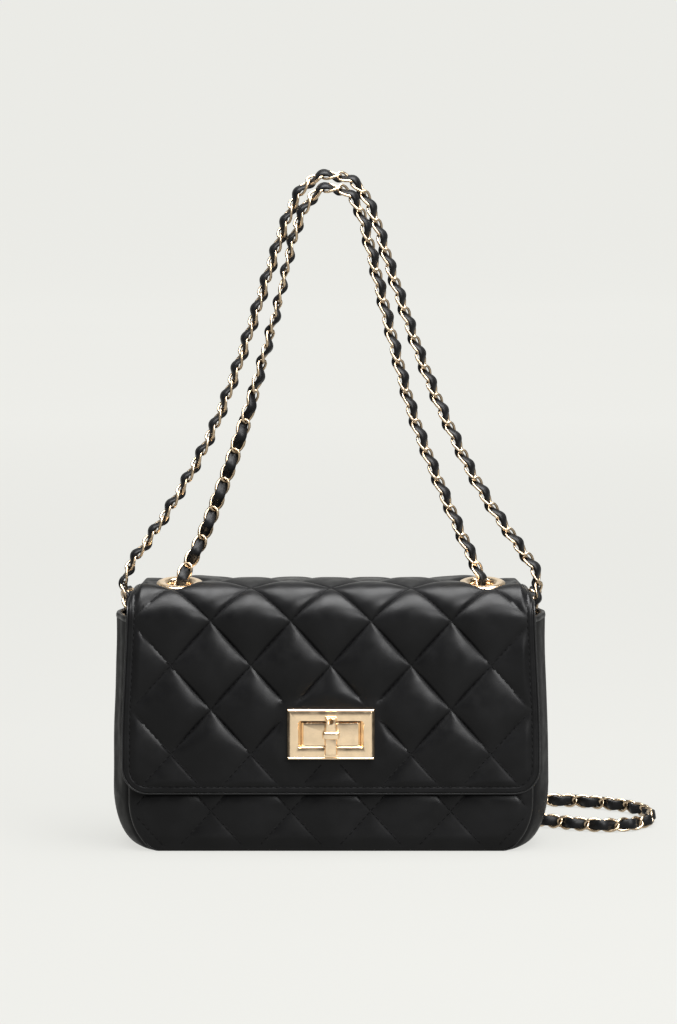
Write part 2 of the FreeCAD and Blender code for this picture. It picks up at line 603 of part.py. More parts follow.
def body_nodes():
    half = SEAM_WIDTH / 2
    gusset_left, base_panel, gusset_right = strip_pieces(0, GUSSET_THICKNESS, GUSSET_TOP)
    lining_left, lining_base, lining_right = strip_pieces(GUSSET_THICKNESS, LINING, GUSSET_TOP, LINING_FLATS)
    magnet_seat = BODY_FRONT - MAGNET_PROUD
    pocket = magnet_block(BODY_FRONT - PAST, magnet_seat + MAGNET, METAL_CLEARANCE)
    front_y = -SEAM_Y - BODY_PADDING
    inner = half - GUSSET_THICKNESS - LINING
    board_half = half - CORNER_RADIUS - BOARD_MARGIN
    board_depth = SEAM_Y - LINING - METAL_CLEARANCE
    pocket_y = SEAM_Y - LINING

    def lining_slab(top, y0, y1):
        return cup_slab(inner, INSIDE_FLOOR, top, CORNER_RADIUS - INSIDE_FLOOR, y0, y1, LINING_FLATS)

    return {
        "front_panel": cup_slab(half, 0, FRONT_TOP, CORNER_RADIUS, BODY_FRONT, front_y).cut(pocket),
        "front_padding": cup_slab(half, 0, FRONT_TOP, CORNER_RADIUS, front_y, -SEAM_Y).cut(pocket),
        "back_panel": quilted(cup_slab(half, 0, BACK_TOP, CORNER_RADIUS, SEAM_Y + BODY_PADDING, BACK_FACE),
                              BACK_FACE, 1, BACK_QUILT_Z, back_field()),
        "back_padding": cup_slab(half, 0, BACK_TOP, CORNER_RADIUS, SEAM_Y, SEAM_Y + BODY_PADDING),
        "gusset_left": gusset_left,
        "gusset_right": gusset_right,
        "base_panel": base_panel,
        "lining_left": lining_left,
        "lining_right": lining_right,
        "lining_base": lining_base,
        "lining_front": lining_slab(FRONT_TOP, -SEAM_Y, -SEAM_Y + LINING),
        "lining_back": lining_slab(BACK_TOP, SEAM_Y - LINING, SEAM_Y),
        "base_board": block(-board_half, board_half, -board_depth, board_depth, INSIDE_FLOOR, INSIDE_FLOOR + BOARD),
        "gusset_binding_left": gusset_binding(-1),
        "gusset_binding_right": gusset_binding(1),
        "mouth_binding": block(-inner, inner, BODY_FRONT, -SEAM_Y + LINING, FRONT_TOP, FRONT_TOP + BINDING_HEIGHT),
        "inner_pocket": block(-POCKET_WIDTH / 2, POCKET_WIDTH / 2, pocket_y - LINING, pocket_y,
                              POCKET_BOTTOM, POCKET_TOP),
        "pocket_binding": block(-POCKET_WIDTH / 2, POCKET_WIDTH / 2, pocket_y - LEATHER, pocket_y,
                                POCKET_TOP, POCKET_TOP + BINDING_HEIGHT),
        "body_magnet": magnet_block(magnet_seat, magnet_seat + MAGNET, 0),
    }


def top_nodes():
    nodes = {
        "flap_top": top_layer(0, LEATHER),
        "flap_top_padding": top_layer(LEATHER, LEATHER + FLAP_PADDING),
        "flap_top_lining": top_layer(LEATHER + FLAP_PADDING, FLAP_THICKNESS),
    }
    for side, word in ((-1, "left"), (1, "right")):
        nodes["eyelet_" + word] = eyelet(side)
        nodes["eyelet_washer_" + word] = eyelet_washer(side)
        nodes["strap_stop_" + word] = strap_stop(side)
        nodes["ring_tab_" + word] = ring_tab(side)
        nodes["gusset_ring_" + word] = gusset_ring(side)
    return nodes


def flap_nodes():
    seat = FLAP_INSIDE + MAGNET_PROUD
    pocket = magnet_block(seat - MAGNET, FLAP_INSIDE + PAST, METAL_CLEARANCE)
    holes = flap_holes()
    return {
        "flap_front": quilted(flap_layer(0, LEATHER).cut(holes), FLAP_FRONT, -1, FLAP_QUILT_Z, flap_field()),
        "flap_padding": flap_layer(LEATHER, LEATHER + FLAP_PADDING).cut(holes).cut(pocket),
        "flap_lining": flap_layer(LEATHER + FLAP_PADDING, FLAP_THICKNESS).cut(holes).cut(pocket),
        "flap_magnet": magnet_block(seat - MAGNET, seat, 0),
        "lock_plate": lock_plate(),
        "lock_island": lock_island(),
        "lock_back_plate": lock_back_plate(),
        "lock_prongs": lock_prongs(),
        "turn_bar": turn_bar(),
        "turn_pin": turn_pin(),
    }


def strap_nodes():
    nodes = {}
    for name, route in (("outer", OUTER_ROUTE), ("inner", INNER_ROUTE), ("long", LONG_ROUTE)):
        nodes["links_" + name] = chain_links(route)
        nodes["lace_" + name] = lace_solid(route)
    return nodes


def main():
    os.makedirs("parts", exist_ok=True)
    nodes = {**body_nodes(), **top_nodes(), **flap_nodes(), **strap_nodes()}
    for name, shape in nodes.items():
        shape.exportStep("parts/" + name + ".step")


main()
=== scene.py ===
"""Quilted shoulder bag with a flap, a turn lock and woven chain straps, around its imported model."""
import json
import math

import bmesh
import bpy
from bpy.props import FloatProperty, FloatVectorProperty, PointerProperty
from mathutils import Matrix, Vector, noise


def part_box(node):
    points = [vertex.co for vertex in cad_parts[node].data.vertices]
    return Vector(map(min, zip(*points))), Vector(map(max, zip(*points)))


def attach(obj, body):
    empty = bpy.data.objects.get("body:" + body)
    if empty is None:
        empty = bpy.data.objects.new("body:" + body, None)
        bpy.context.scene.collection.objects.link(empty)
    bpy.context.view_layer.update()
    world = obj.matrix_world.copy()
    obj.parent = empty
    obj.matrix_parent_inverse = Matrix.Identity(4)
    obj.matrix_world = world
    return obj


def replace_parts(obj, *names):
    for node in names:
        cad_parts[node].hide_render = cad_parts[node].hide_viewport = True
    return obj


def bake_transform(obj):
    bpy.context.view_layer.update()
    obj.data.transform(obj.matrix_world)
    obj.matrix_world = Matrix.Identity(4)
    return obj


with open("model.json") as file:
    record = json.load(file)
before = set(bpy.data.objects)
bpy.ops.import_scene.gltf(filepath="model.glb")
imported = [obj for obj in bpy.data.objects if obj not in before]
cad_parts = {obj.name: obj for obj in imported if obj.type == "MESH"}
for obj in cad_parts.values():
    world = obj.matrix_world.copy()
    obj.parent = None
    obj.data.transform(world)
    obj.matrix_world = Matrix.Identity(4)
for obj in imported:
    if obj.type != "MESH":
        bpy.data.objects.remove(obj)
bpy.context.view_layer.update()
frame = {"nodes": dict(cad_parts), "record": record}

bl_info = {
    "name": "Quilted chain shoulder bag",
    "version": (1, 0, 0),
    "blender": (4, 5, 0),
    "location": "3D View > Sidebar > Bag",
    "description": "Models a quilted leather bag with a turn lock and woven chain straps",
    "category": "Object",
}

MM = 0.001
QUARTER = math.pi / 2
UPWARD, BACKWARD = Vector((0, 0, 1)), Vector((0, 1, 0))
SIDES = (("left", -1), ("right", 1))

# Sizes in millimetres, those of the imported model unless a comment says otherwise
SEAM_HALF, SEAM_Y = 107.0, 30.0
BULGE = 9.2                     # the gussets swell a little further than packed
FRONT_TOP, BACK_TOP, GUSSET_TOP = 112.0, 124.0, 122.0
BODY_FACE, PANEL_THICK = 34.0, 4.0
TOP_Z = 140.5
TOP_HALF = 105.4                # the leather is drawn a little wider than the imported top
FLAP_HALF, FLAP_BOTTOM, FLAP_CORNER = 110.0, 32.0, 13.0
FLAP_FACE, FLAP_THICK = -39.5, 4.0
FOLD_Y, FRONT_FOLD, BACK_FOLD = -14.0, 15.5, 15.0
EYELET_X = 80.5
EYELET_Y = -1.0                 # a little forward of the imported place, on the top's crest
EYELET_TILT = math.radians(8)   # the top's leather leans forward there
EYELET_SINK = 1.7
LOCK_Z = 64.0
PLATE, PLATE_THICK, WINDOW = (46.0, 27.4), 3.0, (34.6, 14.4)
MAGNET_Z, MAGNET_HALF = 44.0, (12.4, 5.4)
RING_WIRE = 2.0
POCKET_HALF, POCKET_LOW, POCKET_TOP = 75.0, 22.0, 92.0

# Strap routes in millimetres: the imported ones, apart from the inner strap's ends in the eyelets
# and the long strap's bends over the gussets
OUTER_ROUTE = [
    (-107, 4.5, 122.5), (-110, 5.5, 131.5), (-111, 7.5, 140), (-106.5, 8, 149.5),
    (-97, 8, 162), (-80.5, 8, 187), (-62.5, 8, 220), (-50, 8, 253), (-40, 8, 283),
    (-30, 8, 314), (-22, 8.5, 337), (-14.5, 9, 351), (-4, 9.5, 356.2), (7, 9.5, 355.4),
    (16.5, 9, 349), (24, 8.5, 332), (31, 8, 308), (40.5, 8, 280), (50.5, 8, 251),
    (63, 8, 222), (78.5, 8, 190), (98.5, 8, 160.5), (108, 8, 148), (111, 7.5, 139.5),
    (110, 5.5, 131.5), (107, 4.5, 122.5)]
INNER_ROUTE = [
    (-80.5, -0.5, 133.1), (-80, 0, 141), (-76.5, 1.5, 148), (-68.5, 2.5, 162.5), (-56, 2, 195),
    (-44.5, 2, 228), (-35.5, 2, 260), (-27, 1.5, 291), (-21, 0.5, 320), (-15, -0.5, 338),
    (-6, -1, 349.5), (7, -1, 349.5), (15.5, -0.5, 339), (21, 0.5, 317), (27.5, 1.5, 290),
    (35.5, 2, 258), (43.5, 2, 228), (56, 2, 196), (70.5, 2.5, 162.5), (77.5, 1.5, 148),
    (80, 0, 141), (80.5, -0.5, 133.1)]
LONG_ROUTE = [
    (-107, 12, 122.5), (-107.2, 13, 128.5), (-109, 21, 131.5), (-110, 34, 131), (-109, 44, 124),
    (-105.5, 46, 112), (-102.5, 45, 90), (-100, 45, 66), (-97, 45.5, 42), (-91.5, 46.5, 21),
    (-79, 48.5, 8), (-61, 52, 4), (-39, 58, 4), (-14, 66.5, 4), (12, 77, 4),
    (40, 90, 4), (68, 102, 4), (95, 110, 4), (119, 112, 4), (139, 107.5, 4),
    (155, 98, 4), (167, 86.5, 4), (174.5, 70, 4), (175, 51, 4), (168, 35, 4),
    (154, 26, 4), (136, 29, 4), (117, 42.5, 4), (101, 49.5, 5), (90.5, 49, 14),
    (90, 46.5, 32), (95, 45.5, 54), (99.5, 45, 78), (103.5, 45, 101), (106, 46, 114),
    (109, 44, 124.5), (110, 34, 131), (109, 21, 131.5), (107.2, 13, 128.5), (107, 12, 122.5)]
# How far each strap's broad face is turned from the front, as (share of its length, degrees)
OUTER_TURN = [(0, 60), (0.05, 116), (0.42, 122), (0.6, 128), (0.95, 128), (1, 100)]
INNER_TURN = [(0, 5), (0.16, 10), (0.3, 75), (0.46, 116), (0.62, 128), (1, 128)]
LONG_TURN = [(0, 0), (1, 0)]


def size_property(name, description, default):
    return FloatProperty(name=name, description=description, default=default, unit="LENGTH")


def colour_property(name, description, default):
    return FloatVectorProperty(name=name, description=description, default=default, subtype="COLOR")


class BagQuilt(bpy.types.PropertyGroup):
    """Sizes of the quilting."""
    across: size_property("Diamond width", "Width of one diamond", 0.0422)
    tall: size_property("Diamond height", "Height of one diamond", 0.047)
    puff: size_property("Puff", "How far a diamond stands out of its seams", 0.0032)
    stitch: size_property("Stitch", "Distance from one stitch to the next", 0.0035)


class BagStrap(bpy.types.PropertyGroup):
    """Sizes of the woven chain."""
    pitch: size_property("Link pitch", "Distance from one link to the next", 0.00825)
    width: size_property("Link width", "Width of a link outside", 0.008)
    wire: size_property("Link wire", "Diameter of the links' wire", 0.0015)
    lace: size_property("Lace width", "Width of the leather lace", 0.0054)
    swing: size_property("Lace swing", "How far the lace stands off the chain's middle", 0.0018)


class BagColours(bpy.types.PropertyGroup):
    """Colours of the finishes."""
    leather: colour_property("Leather", "Colour of the leather", (0.0031, 0.0031, 0.0033))
    gold: colour_property("Metal", "Colour of the plated fittings", (0.92, 0.71, 0.48))
    lining: colour_property("Lining", "Colour of the lining", (0.022, 0.021, 0.022))
    floor: colour_property("Floor", "Colour of the floor", (0.80, 0.80, 0.765))


def deselect():
    if bpy.context.object and bpy.context.object.mode != "OBJECT":
        bpy.ops.object.mode_set(mode="OBJECT")
    bpy.ops.object.select_all(action="DESELECT")


def pick(obj, *others):
    deselect()
    for each in (obj, *others):
        each.select_set(True)
    bpy.context.view_layer.objects.active = obj


def named(name):
    """The object that the last operator added, under its own name."""
    obj = bpy.context.object
    obj.name = name
    obj.data.name = name
    return obj


def apply_all(obj):
    pick(obj)
    for modifier in list(obj.modifiers):
        bpy.ops.object.modifier_apply(modifier=modifier.name)


def smooth(obj, angle):
    pick(obj)
    bpy.ops.object.shade_smooth_by_angle(angle=math.radians(angle))


def paint(data, *finishes):
    data.materials.clear()
    for name in finishes:
        data.materials.append(finish(name))


def dress(obj, body, slot, *finishes):
    """Gives a piece its finishes and its one body; slot, the record's slot that they come from, is
    not used.
    """
    paint(obj.data, *finishes)
    if body:
        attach(obj, body)
    return obj


def ease(low, high, value):
    t = min(1.0, max(0.0, (value - low) / (high - low)))
    return t * t * (3 - 2 * t)


def mix(low, high, t):
    return low + (high - low) * t


def along_table(table, share):
    """Value of a table of (share, value) pairs, eased from one pair to the next."""
    for (s0, v0), (s1, v1) in zip(table, table[1:]):
        if share <= s1:
            return mix(v0, v1, ease(s0, s1, share))
    return table[-1][1]


def bent(value, power):
    """A value raised to a power, with its sign kept."""
    return math.copysign(abs(value) ** power, value)


def turns(count):
    """Angles round a full turn."""
    return [2 * math.pi * k / count for k in range(count)]


def heading(points, i):
    """Direction of a line of points at one of them."""
    return (points[min(i + 1, len(points) - 1)] - points[max(i - 1, 0)]).normalized()


def square_to(vector, along):
    """The part of a vector that is square to a direction, 1 long."""
    return (vector - along * vector.dot(along)).normalized()


def beyond(x, z, half_x, half_z):
    """Distance to a rectangle about the origin, 0 inside it."""
    return math.hypot(max(abs(x) - half_x, 0), max(abs(z) - half_z, 0))


class Nodes:
    """Adds and links the nodes of one material."""

    def __init__(self, name):
        self.material = bpy.data.materials.new(name)
        self.material.use_nodes = True
        self.tree = self.material.node_tree
        self.shader = self.tree.nodes["Principled BSDF"]
        self.place = self.add("TexCoord").outputs["Object"]

    def add(self, kind, **settings):
        node = self.tree.nodes.new("ShaderNode" + kind)
        for key, value in settings.items():
            setattr(node, key, value)
        return node

    def feed(self, socket, value):
        """Links an output to an input, or sets the input to a plain value."""
        if isinstance(value, bpy.types.NodeSocket):
            self.tree.links.new(value, socket)
        else:
            socket.default_value = value

    def texture(self, kind, scale, detail=None, output="Fac", **settings):
        node = self.add("Tex" + kind, **settings)
        self.feed(node.inputs["Vector"], self.place)
        self.feed(node.inputs["Scale"], scale)
        if detail is not None:
            self.feed(node.inputs["Detail"], detail)
        return node.outputs[output]

    def ramp(self, socket, source, low, high):
        """Drives an input of the shader between two colours, or two grey values, by a texture."""
        node = self.add("ValToRGB")
        for element, stop, value in zip(node.color_ramp.elements, (0.35, 0.65), (low, high)):
            element.position = stop
            element.color = (value, value, value, 1) if isinstance(value, float) else (*value, 1)
        self.feed(node.inputs["Fac"], source)
        self.feed(self.shader.inputs[socket], node.outputs["Color"])

    def surface(self, mottle, colour, tints, wear, roughness):
        """Colour between two tints by one texture, roughness between two values by another."""
        self.ramp("Base Color", mottle, *(tinted(colour, tint) for tint in tints))
        self.ramp("Roughness", wear, *roughness)

    def bumps(self, *layers):
        """Bump layers of (height, strength, distance), one on the other."""
        normal = None
        for layer in layers:
            node = self.add("Bump")
            for name, value in zip(("Height", "Strength", "Distance"), layer):
                self.feed(node.inputs[name], value)
            if normal:
                self.feed(node.inputs["Normal"], normal)
            normal = node.outputs["Normal"]
        self.feed(self.shader.inputs["Normal"], normal)

    def math(self, operation, *values):
        node = self.add("Math", operation=operation)
        for socket, value in zip(node.inputs, values):
            self.feed(socket, value)
        return node.outputs["Value"]

    def remap(self, value, *limits):
        """Takes a value from one range to another, by the limits of the first, then the second."""
        node = self.add("MapRange")
        self.feed(node.inputs["Value"], value)
        for name, limit in zip(("From Min", "From Max", "To Min", "To Max"), limits):
            self.feed(node.inputs[name], limit)
        return node.outputs["Result"]

    def set(self, **values):
        for name, value in values.items():
            self.feed(self.shader.inputs[name.replace("_", " ")], value)


def tinted(colour, factor):
    return tuple(min(1.0, c * factor) for c in colour)


def leather_finish(name, colour, rough, grain, shine=0.125):
    """Smooth calf leather: fine pores, faint creases and a soft sheen that varies a little."""
    n = Nodes(name)
    pores = n.texture("Voronoi", grain, output="Distance", feature="DISTANCE_TO_EDGE")
    creases = n.texture("Noise", 160, 6)
    patches = n.texture("Noise", 38, 3)
    n.surface(patches, colour, (0.8, 1.25), creases, (rough - 0.05, rough + 0.06))
    n.bumps((pores, 0.10, 0.0002), (creases, 0.10, 0.0004))
    n.set(Specular_IOR_Level=shine)
    return n.material


def gold_finish(name, colour, rough):
    """Polished pale gold plate with faint hairlines and a little tarnish."""
    n = Nodes(name)
    tarnish = n.texture("Noise", 220, 4)
    n.surface(tarnish, colour, (0.93, 1.05), tarnish, (rough - 0.03, rough + 0.05))
    n.bumps((n.texture("Noise", 2600, 2), 0.03, 0.00005))
    n.set(Metallic=1.0)
    return n.material


def woven_finish(name, colour, rough, threads, sheen):
    """Plain woven cloth: crossing threads with a soft sheen."""
    n = Nodes(name)
    warp, weft = (n.texture("Wave", threads, 1, bands_direction=way) for way in "XZ")
    weave = n.math("MAXIMUM", warp, weft)
    cloth = n.texture("Noise", 90, 3)
    n.surface(cloth, colour, (0.75, 1.3), weave, (rough + 0.08, rough - 0.06))
    n.bumps((weave, 0.25, 0.0002))
    n.set(Sheen_Weight=sheen, Specular_IOR_Level=0.12)
    return n.material


def hard_finish(name, colour, rough, metallic):
    """Plain plate or board with a fine brushed or pressed surface."""
    n = Nodes(name)
    broad = n.texture("Noise", 60, 3)
    n.surface(broad, colour, (0.85, 1.15), broad, (rough - 0.05, rough + 0.05))
    n.bumps((n.texture("Noise", 900, 3), 0.08, 0.0001))
    n.set(Metallic=metallic)
    return n.material


def finish(name):
    """The named finish, made when it is first asked for."""
    if name in bpy.data.materials:
        return bpy.data.materials[name]
    colours = bpy.context.scene.bag_colours
    leather, gold = colours.leather, colours.gold
    make, *settings = {
        "black_calf": (leather_finish, leather, 0.38, 1500),
        "strap_calf": (leather_finish, tinted(leather, 1.1), 0.42, 1800),
        "side_calf": (leather_finish, leather, 0.5, 1500, 0.07),
        "edge_paint": (leather_finish, tinted(leather, 1.2), 0.4, 1500, 0.3),
        "black_thread": (woven_finish, tinted(leather, 0.35), 0.85, 3000, 0.0),
        "lining_cloth": (woven_finish, colours.lining, 0.72, 700, 0.2),
        "gold_plate": (gold_finish, gold, 0.2),
        # The links use the plate's gold darkened to about half, as painted shade
        "gold_links": (gold_finish, tinted(gold, 0.54), 0.3),
        "magnet_plate": (hard_finish, (0.5, 0.5, 0.51), 0.4, 1.0),
        "pressed_board": (hard_finish, (0.05, 0.05, 0.05), 0.7, 0.0),
    }[name]
    return make(name, *settings)


def from_bmesh(name, bm, angle=None):
    """A closed piece put together face by face, shaded smooth up to an angle if one is given."""
    bmesh.ops.recalc_face_normals(bm, faces=bm.faces)
    bpy.ops.mesh.primitive_cube_add(size=MM)
    obj = named(name)
    bm.to_mesh(obj.data)
    bm.free()
    obj.data.update()
    if angle:
        smooth(obj, angle)
    return obj


def skin(name, loops, angle=None, ring=False):
    """Piece skinned over loops of points in millimetres.

    A ring joins its last loop to its first, else both ends close.
    """
    bm = bmesh.new()
    rows = [[bm.verts.new(p * MM) for p in loop] for loop in loops]
    size = len(rows[0])
    for first, second in list(zip(rows, rows[1:])) + ([(rows[-1], rows[0])] if ring else []):
        for k in range(size):
            after = (k + 1) % size
            bm.faces.new((first[k], first[after], second[after], second[k]))
    if not ring:
        bm.faces.new(rows[0])
        bm.faces.new(list(reversed(rows[-1])))
    bmesh.ops.remove_doubles(bm, verts=bm.verts, dist=0.02 * MM)
    return from_bmesh(name, bm, angle)


def swept(name, path, section, angle=50):
    """Band along a path of (place, across, up), with a closed section of (across, up)."""
    loops = [[place + across * a + up * b for a, b in section] for place, across, up in path]
    return skin(name, loops, angle)


def soft_section(wide, tall, power=0.55):
    """Rounded section of a turned leather edge."""
    return [(bent(math.cos(a), power) * wide / 2, bent(math.sin(a), power) * tall / 2)
            for a in turns(16)]


def copies(name, pattern, matrices):
    """One piece made of copies of a pattern, which is then taken away."""
    bm = bmesh.new()
    for matrix in matrices:
        copy = pattern.data.copy()
        copy.transform(matrix)
        bm.from_mesh(copy)
        bpy.data.meshes.remove(copy)
    bpy.data.objects.remove(pattern)
    return from_bmesh(name, bm, 180)


LINK_TWIST = math.radians(-36)  # a link's lean at its ends
LINK_LAP = 0.25                 # how far each end of a link reaches past the next one's wire
LACE_STEPS = 10                 # rings of the lace to a link
LACE_SECTION = [(-1, -0.35), (-0.8, -1), (0, -1.1), (0.8, -1), (1, -0.35),
                (1, 0.35), (0.8, 1), (0, 1.1), (-0.8, 1), (-1, 0.35)]


def route_line(name, route):
    """Points of the route's smooth spline, read from a curve with no bevel."""
    curve = bpy.data.curves.new(name, "CURVE")
    curve.dimensions = "3D"
    curve.resolution_u = 24
    spline = curve.splines.new("NURBS")
    spline.points.add(len(route) - 1)
    for point, place in zip(spline.points, route):
        point.co = (*(Vector(place) * MM), 1)
    spline.order_u = 3
    spline.use_endpoint_u = True
    obj = bpy.data.objects.new(name, curve)
    mesh = bpy.data.meshes.new_from_object(obj)
    points = [v.co.copy() for v in mesh.vertices]
    bpy.data.objects.remove(obj)
    bpy.data.curves.remove(curve)
    bpy.data.meshes.remove(mesh)
    return points


class StrapLine:
    """A strap's line with a facing that is carried along it and turned as the strap twists."""

    def __init__(self, name, route, turn):
        self.points = route_line(name, route)
        self.turn = turn
        self.places = [0.0]
        for a, b in zip(self.points, self.points[1:]):
            self.places.append(self.places[-1] + (b - a).length)
        self.length = self.places[-1]
        self.facings = []
        facing = -BACKWARD
        for i in range(len(self.points)):
            facing = square_to(facing, heading(self.points, i))
            self.facings.append(facing)

    def at(self, distance):
        """Place, direction, facing and the direction across, at a distance along the strap."""
        distance = min(max(distance, 0.0), self.length)
        low, high = 0, len(self.places) - 1
        while high - low > 1:
            middle = (low + high) // 2
            if self.places[middle] <= distance:
                low = middle
            else:
                high = middle
        span = self.places[high] - self.places[low]
        t = (distance - self.places[low]) / span if span else 0
        along = heading(self.points, low).lerp(heading(self.points, high), t).normalized()
        turn = math.radians(along_table(self.turn, distance / self.length))
        facing = square_to(self.facings[low].lerp(self.facings[high], t), along)
        facing = Matrix.Rotation(turn, 3, along) @ facing
        place = self.points[low].lerp(self.points[high], t)
        return place, along, facing, facing.cross(along)


def wire_ring(name, segments, sides, place):
    """Closed ring of wire: a torus whose vertices go where place puts their two angles."""
    deselect()
    bpy.ops.mesh.primitive_torus_add(major_segments=segments, minor_segments=sides,
                                     major_radius=1.0, minor_radius=0.25)
    ring = named(name)
    for v in ring.data.vertices:
        round_ring = math.atan2(v.co.y, v.co.x)
        round_wire = math.atan2(v.co.z, math.hypot(v.co.x, v.co.y) - 1.0)
        v.co = place(round_ring, round_wire) * MM
    return ring


def curb_link(settings):
    """One link of round wire, twisted so that its two ends stand square to each other."""
    reach = (settings.pitch + settings.wire) / 2 / MM + LINK_LAP
    waist = (settings.width - settings.wire) / 2 / MM
    radius = settings.wire / 2 / MM

    def middle(t):
        x, y = reach * math.cos(t), waist * bent(math.sin(t), 0.8)
        lean = LINK_TWIST * x / reach
        return Vector((x, y * math.cos(lean), y * math.sin(lean)))

    def place(t, a):
        centre = middle(t)
        along = (middle(t + 0.02) - middle(t - 0.02)).normalized()
        out = square_to(centre - Vector((centre.x * 0.55, 0, 0)), along)
        side = along.cross(out)
        return centre + (out * math.cos(a) - side * math.sin(a)) * radius

    return wire_ring("link_pattern", 16, 6, place)


def strap_links(name, line, settings, count):
    """Links along a strap, one pitch apart."""
    matrices = []
    for i in range(count):
        place, along, facing, across = line.at((i + 0.5) * line.length / count)
        turn = Matrix((along, across, facing)).transposed().to_4x4()
        matrices.append(Matrix.Translation(place) @ turn)
    return copies(name, curb_link(settings), matrices)


def strap_lace(name, line, settings, count):
    """Leather lace that passes from one face of the chain to the other through every link."""
    path = []
    last = count * LACE_STEPS
    for k in range(1, last):
        place, along, facing, across = line.at(k * line.length / last)
        swing = -math.cos(math.pi * k / LACE_STEPS)
        offset = swing * (1.2 - 0.2 * swing ** 2) * ease(0, LACE_STEPS, min(k, last - k))
        wide = settings.lace / 2 / MM * (0.92 + 0.13 * swing ** 2)
        thick = 0.9 + 0.22 * swing ** 2
        centre = place + facing * (offset * settings.swing)
        path.append((centre / MM, across * wide, facing * thick))
    return swept(name, path, LACE_SECTION, 60)


def add_strap(word, route, turn):
    """One woven chain: its links and its lace."""
    settings = bpy.context.scene.bag_strap
    line = StrapLine("route_" + word, route, turn)
    count = 2 * int(line.length / settings.pitch / 2) + 1
    links = strap_links("strap_links_" + word, line, settings, count)
    lace = strap_lace("strap_lace_" + word, line, settings, count)
    # The links' gold is darkened as painted shade
    dress(links, "body", "strap_links", "gold_links")
    dress(lace, "body", "strap_lace", "strap_calf")
    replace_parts(links, "links_" + word)
    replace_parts(lace, "lace_" + word)
    tuple(line.points[0])
    [tuple(p) for p in line.points]


class BAG_OT_straps(bpy.types.Operator):
    """Make the woven chain straps"""
    bl_idname = "bag.straps"
    bl_label = "Chain straps"

    def execute(self, context):
        add_strap("outer", OUTER_ROUTE, OUTER_TURN)
        add_strap("inner", INNER_ROUTE, INNER_TURN)
        add_strap("long", LONG_ROUTE, LONG_TURN)
        return {"FINISHED"}


# Distances of mesh rows from a sheet's edge, and between rows further in
EDGE_STEPS = (0.0, 0.25, 0.6, 1.1, 1.5, 1.9, 2.5, 3.0, 3.4, 3.8, 4.6, 6.0)
GRID_STEP = 1.4
CELLS = 30                  # mesh cells across one diamond, so that seams run along mesh edges
SEAM_LANES = 9              # seams each way from the middle line, enough for every sheet
SEAM_SINK = 1.5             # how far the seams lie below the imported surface
GROOVE_WIDTH = 0.7          # of the line that a seam's thread pulls down
THREAD_LIFT = 0.1           # of the thread above the leather
STITCH_SIZE = (0.76, 0.7, 0.6)  # share of the stitch length, width and height of one stitch


def edge_rows(start, end):
    return [start + e for e in EDGE_STEPS], [end - e for e in reversed(EDGE_STEPS)]


def spread(start, end):
    """Places from start to end, close together along both edges."""
    head, tail = edge_rows(start, end)
    count = max(1, round((tail[0] - head[-1]) / GRID_STEP))
    step = (tail[0] - head[-1]) / count
    return head + [head[-1] + step * k for k in range(1, count)] + tail


def seam_places(start, end, node, size):
    """Places from start to end that keep in step with the quilting, close along both edges."""
    head, tail = edge_rows(start, end)
    step = size / MM / CELLS
    first = math.ceil((head[-1] - node) / step + 0.4)
    last = math.floor((tail[0] - node) / step - 0.4)
    return head + [node + k * step for k in range(first, last + 1)] + tail


def to_edge(column, full, half, keep):
    """Moves a column past keep in or out, so that the last one, at full, meets the edge at half."""
    if abs(column) <= keep:
        return column
    return math.copysign(keep + (abs(column) - keep) * (half - keep) / (full - keep), column)


def between(values, share):
    """Value at a share of the way through a list."""
    place = share * (len(values) - 1)
    low = min(int(place + 1e-4), len(values) - 2)
    t = place - low
    return values[low] if t < 1e-3 else mix(values[low], values[low + 1], t)


def ripple(x, y, z):
    """Slack of worked leather, from -1 to 1."""
    broad, fine = Vector((x, y, z)) / 26, Vector((z, x, y)) / 9
    return noise.noise(broad) * 0.75 + noise.noise(fine) * 0.25


def quilting(x, s, quilt, node_s, full):
    """Height of a pillow, 0 on a seam and up to 1, and depth of the groove along a seam.

    node_s is a crossing on x = 0. Where full is under 1, pillows are flatter and grooves shallower.
    """
    across, tall = x * MM / quilt.across, (s - node_s) * MM / quilt.tall
    offs = [abs(lane - math.floor(lane + 0.5)) for lane in (across + tall, across - tall)]
    height = (1 - (1 - 2 * offs[0]) ** 3) * (1 - (1 - 2 * offs[1]) ** 3)
    groove = math.exp(-(min(offs) * quilt.across / MM / GROOVE_WIDTH) ** 2)
    return height * mix(0.4, 1.0, full), groove * mix(0.14, 0.5, full)


def rounded(edge, radius):
    """How far a surface falls back near an edge that turns over with a radius."""
    if edge >= radius:
        return 0.0
    return radius - math.sqrt(max(0.0, radius ** 2 - (radius - edge) ** 2))


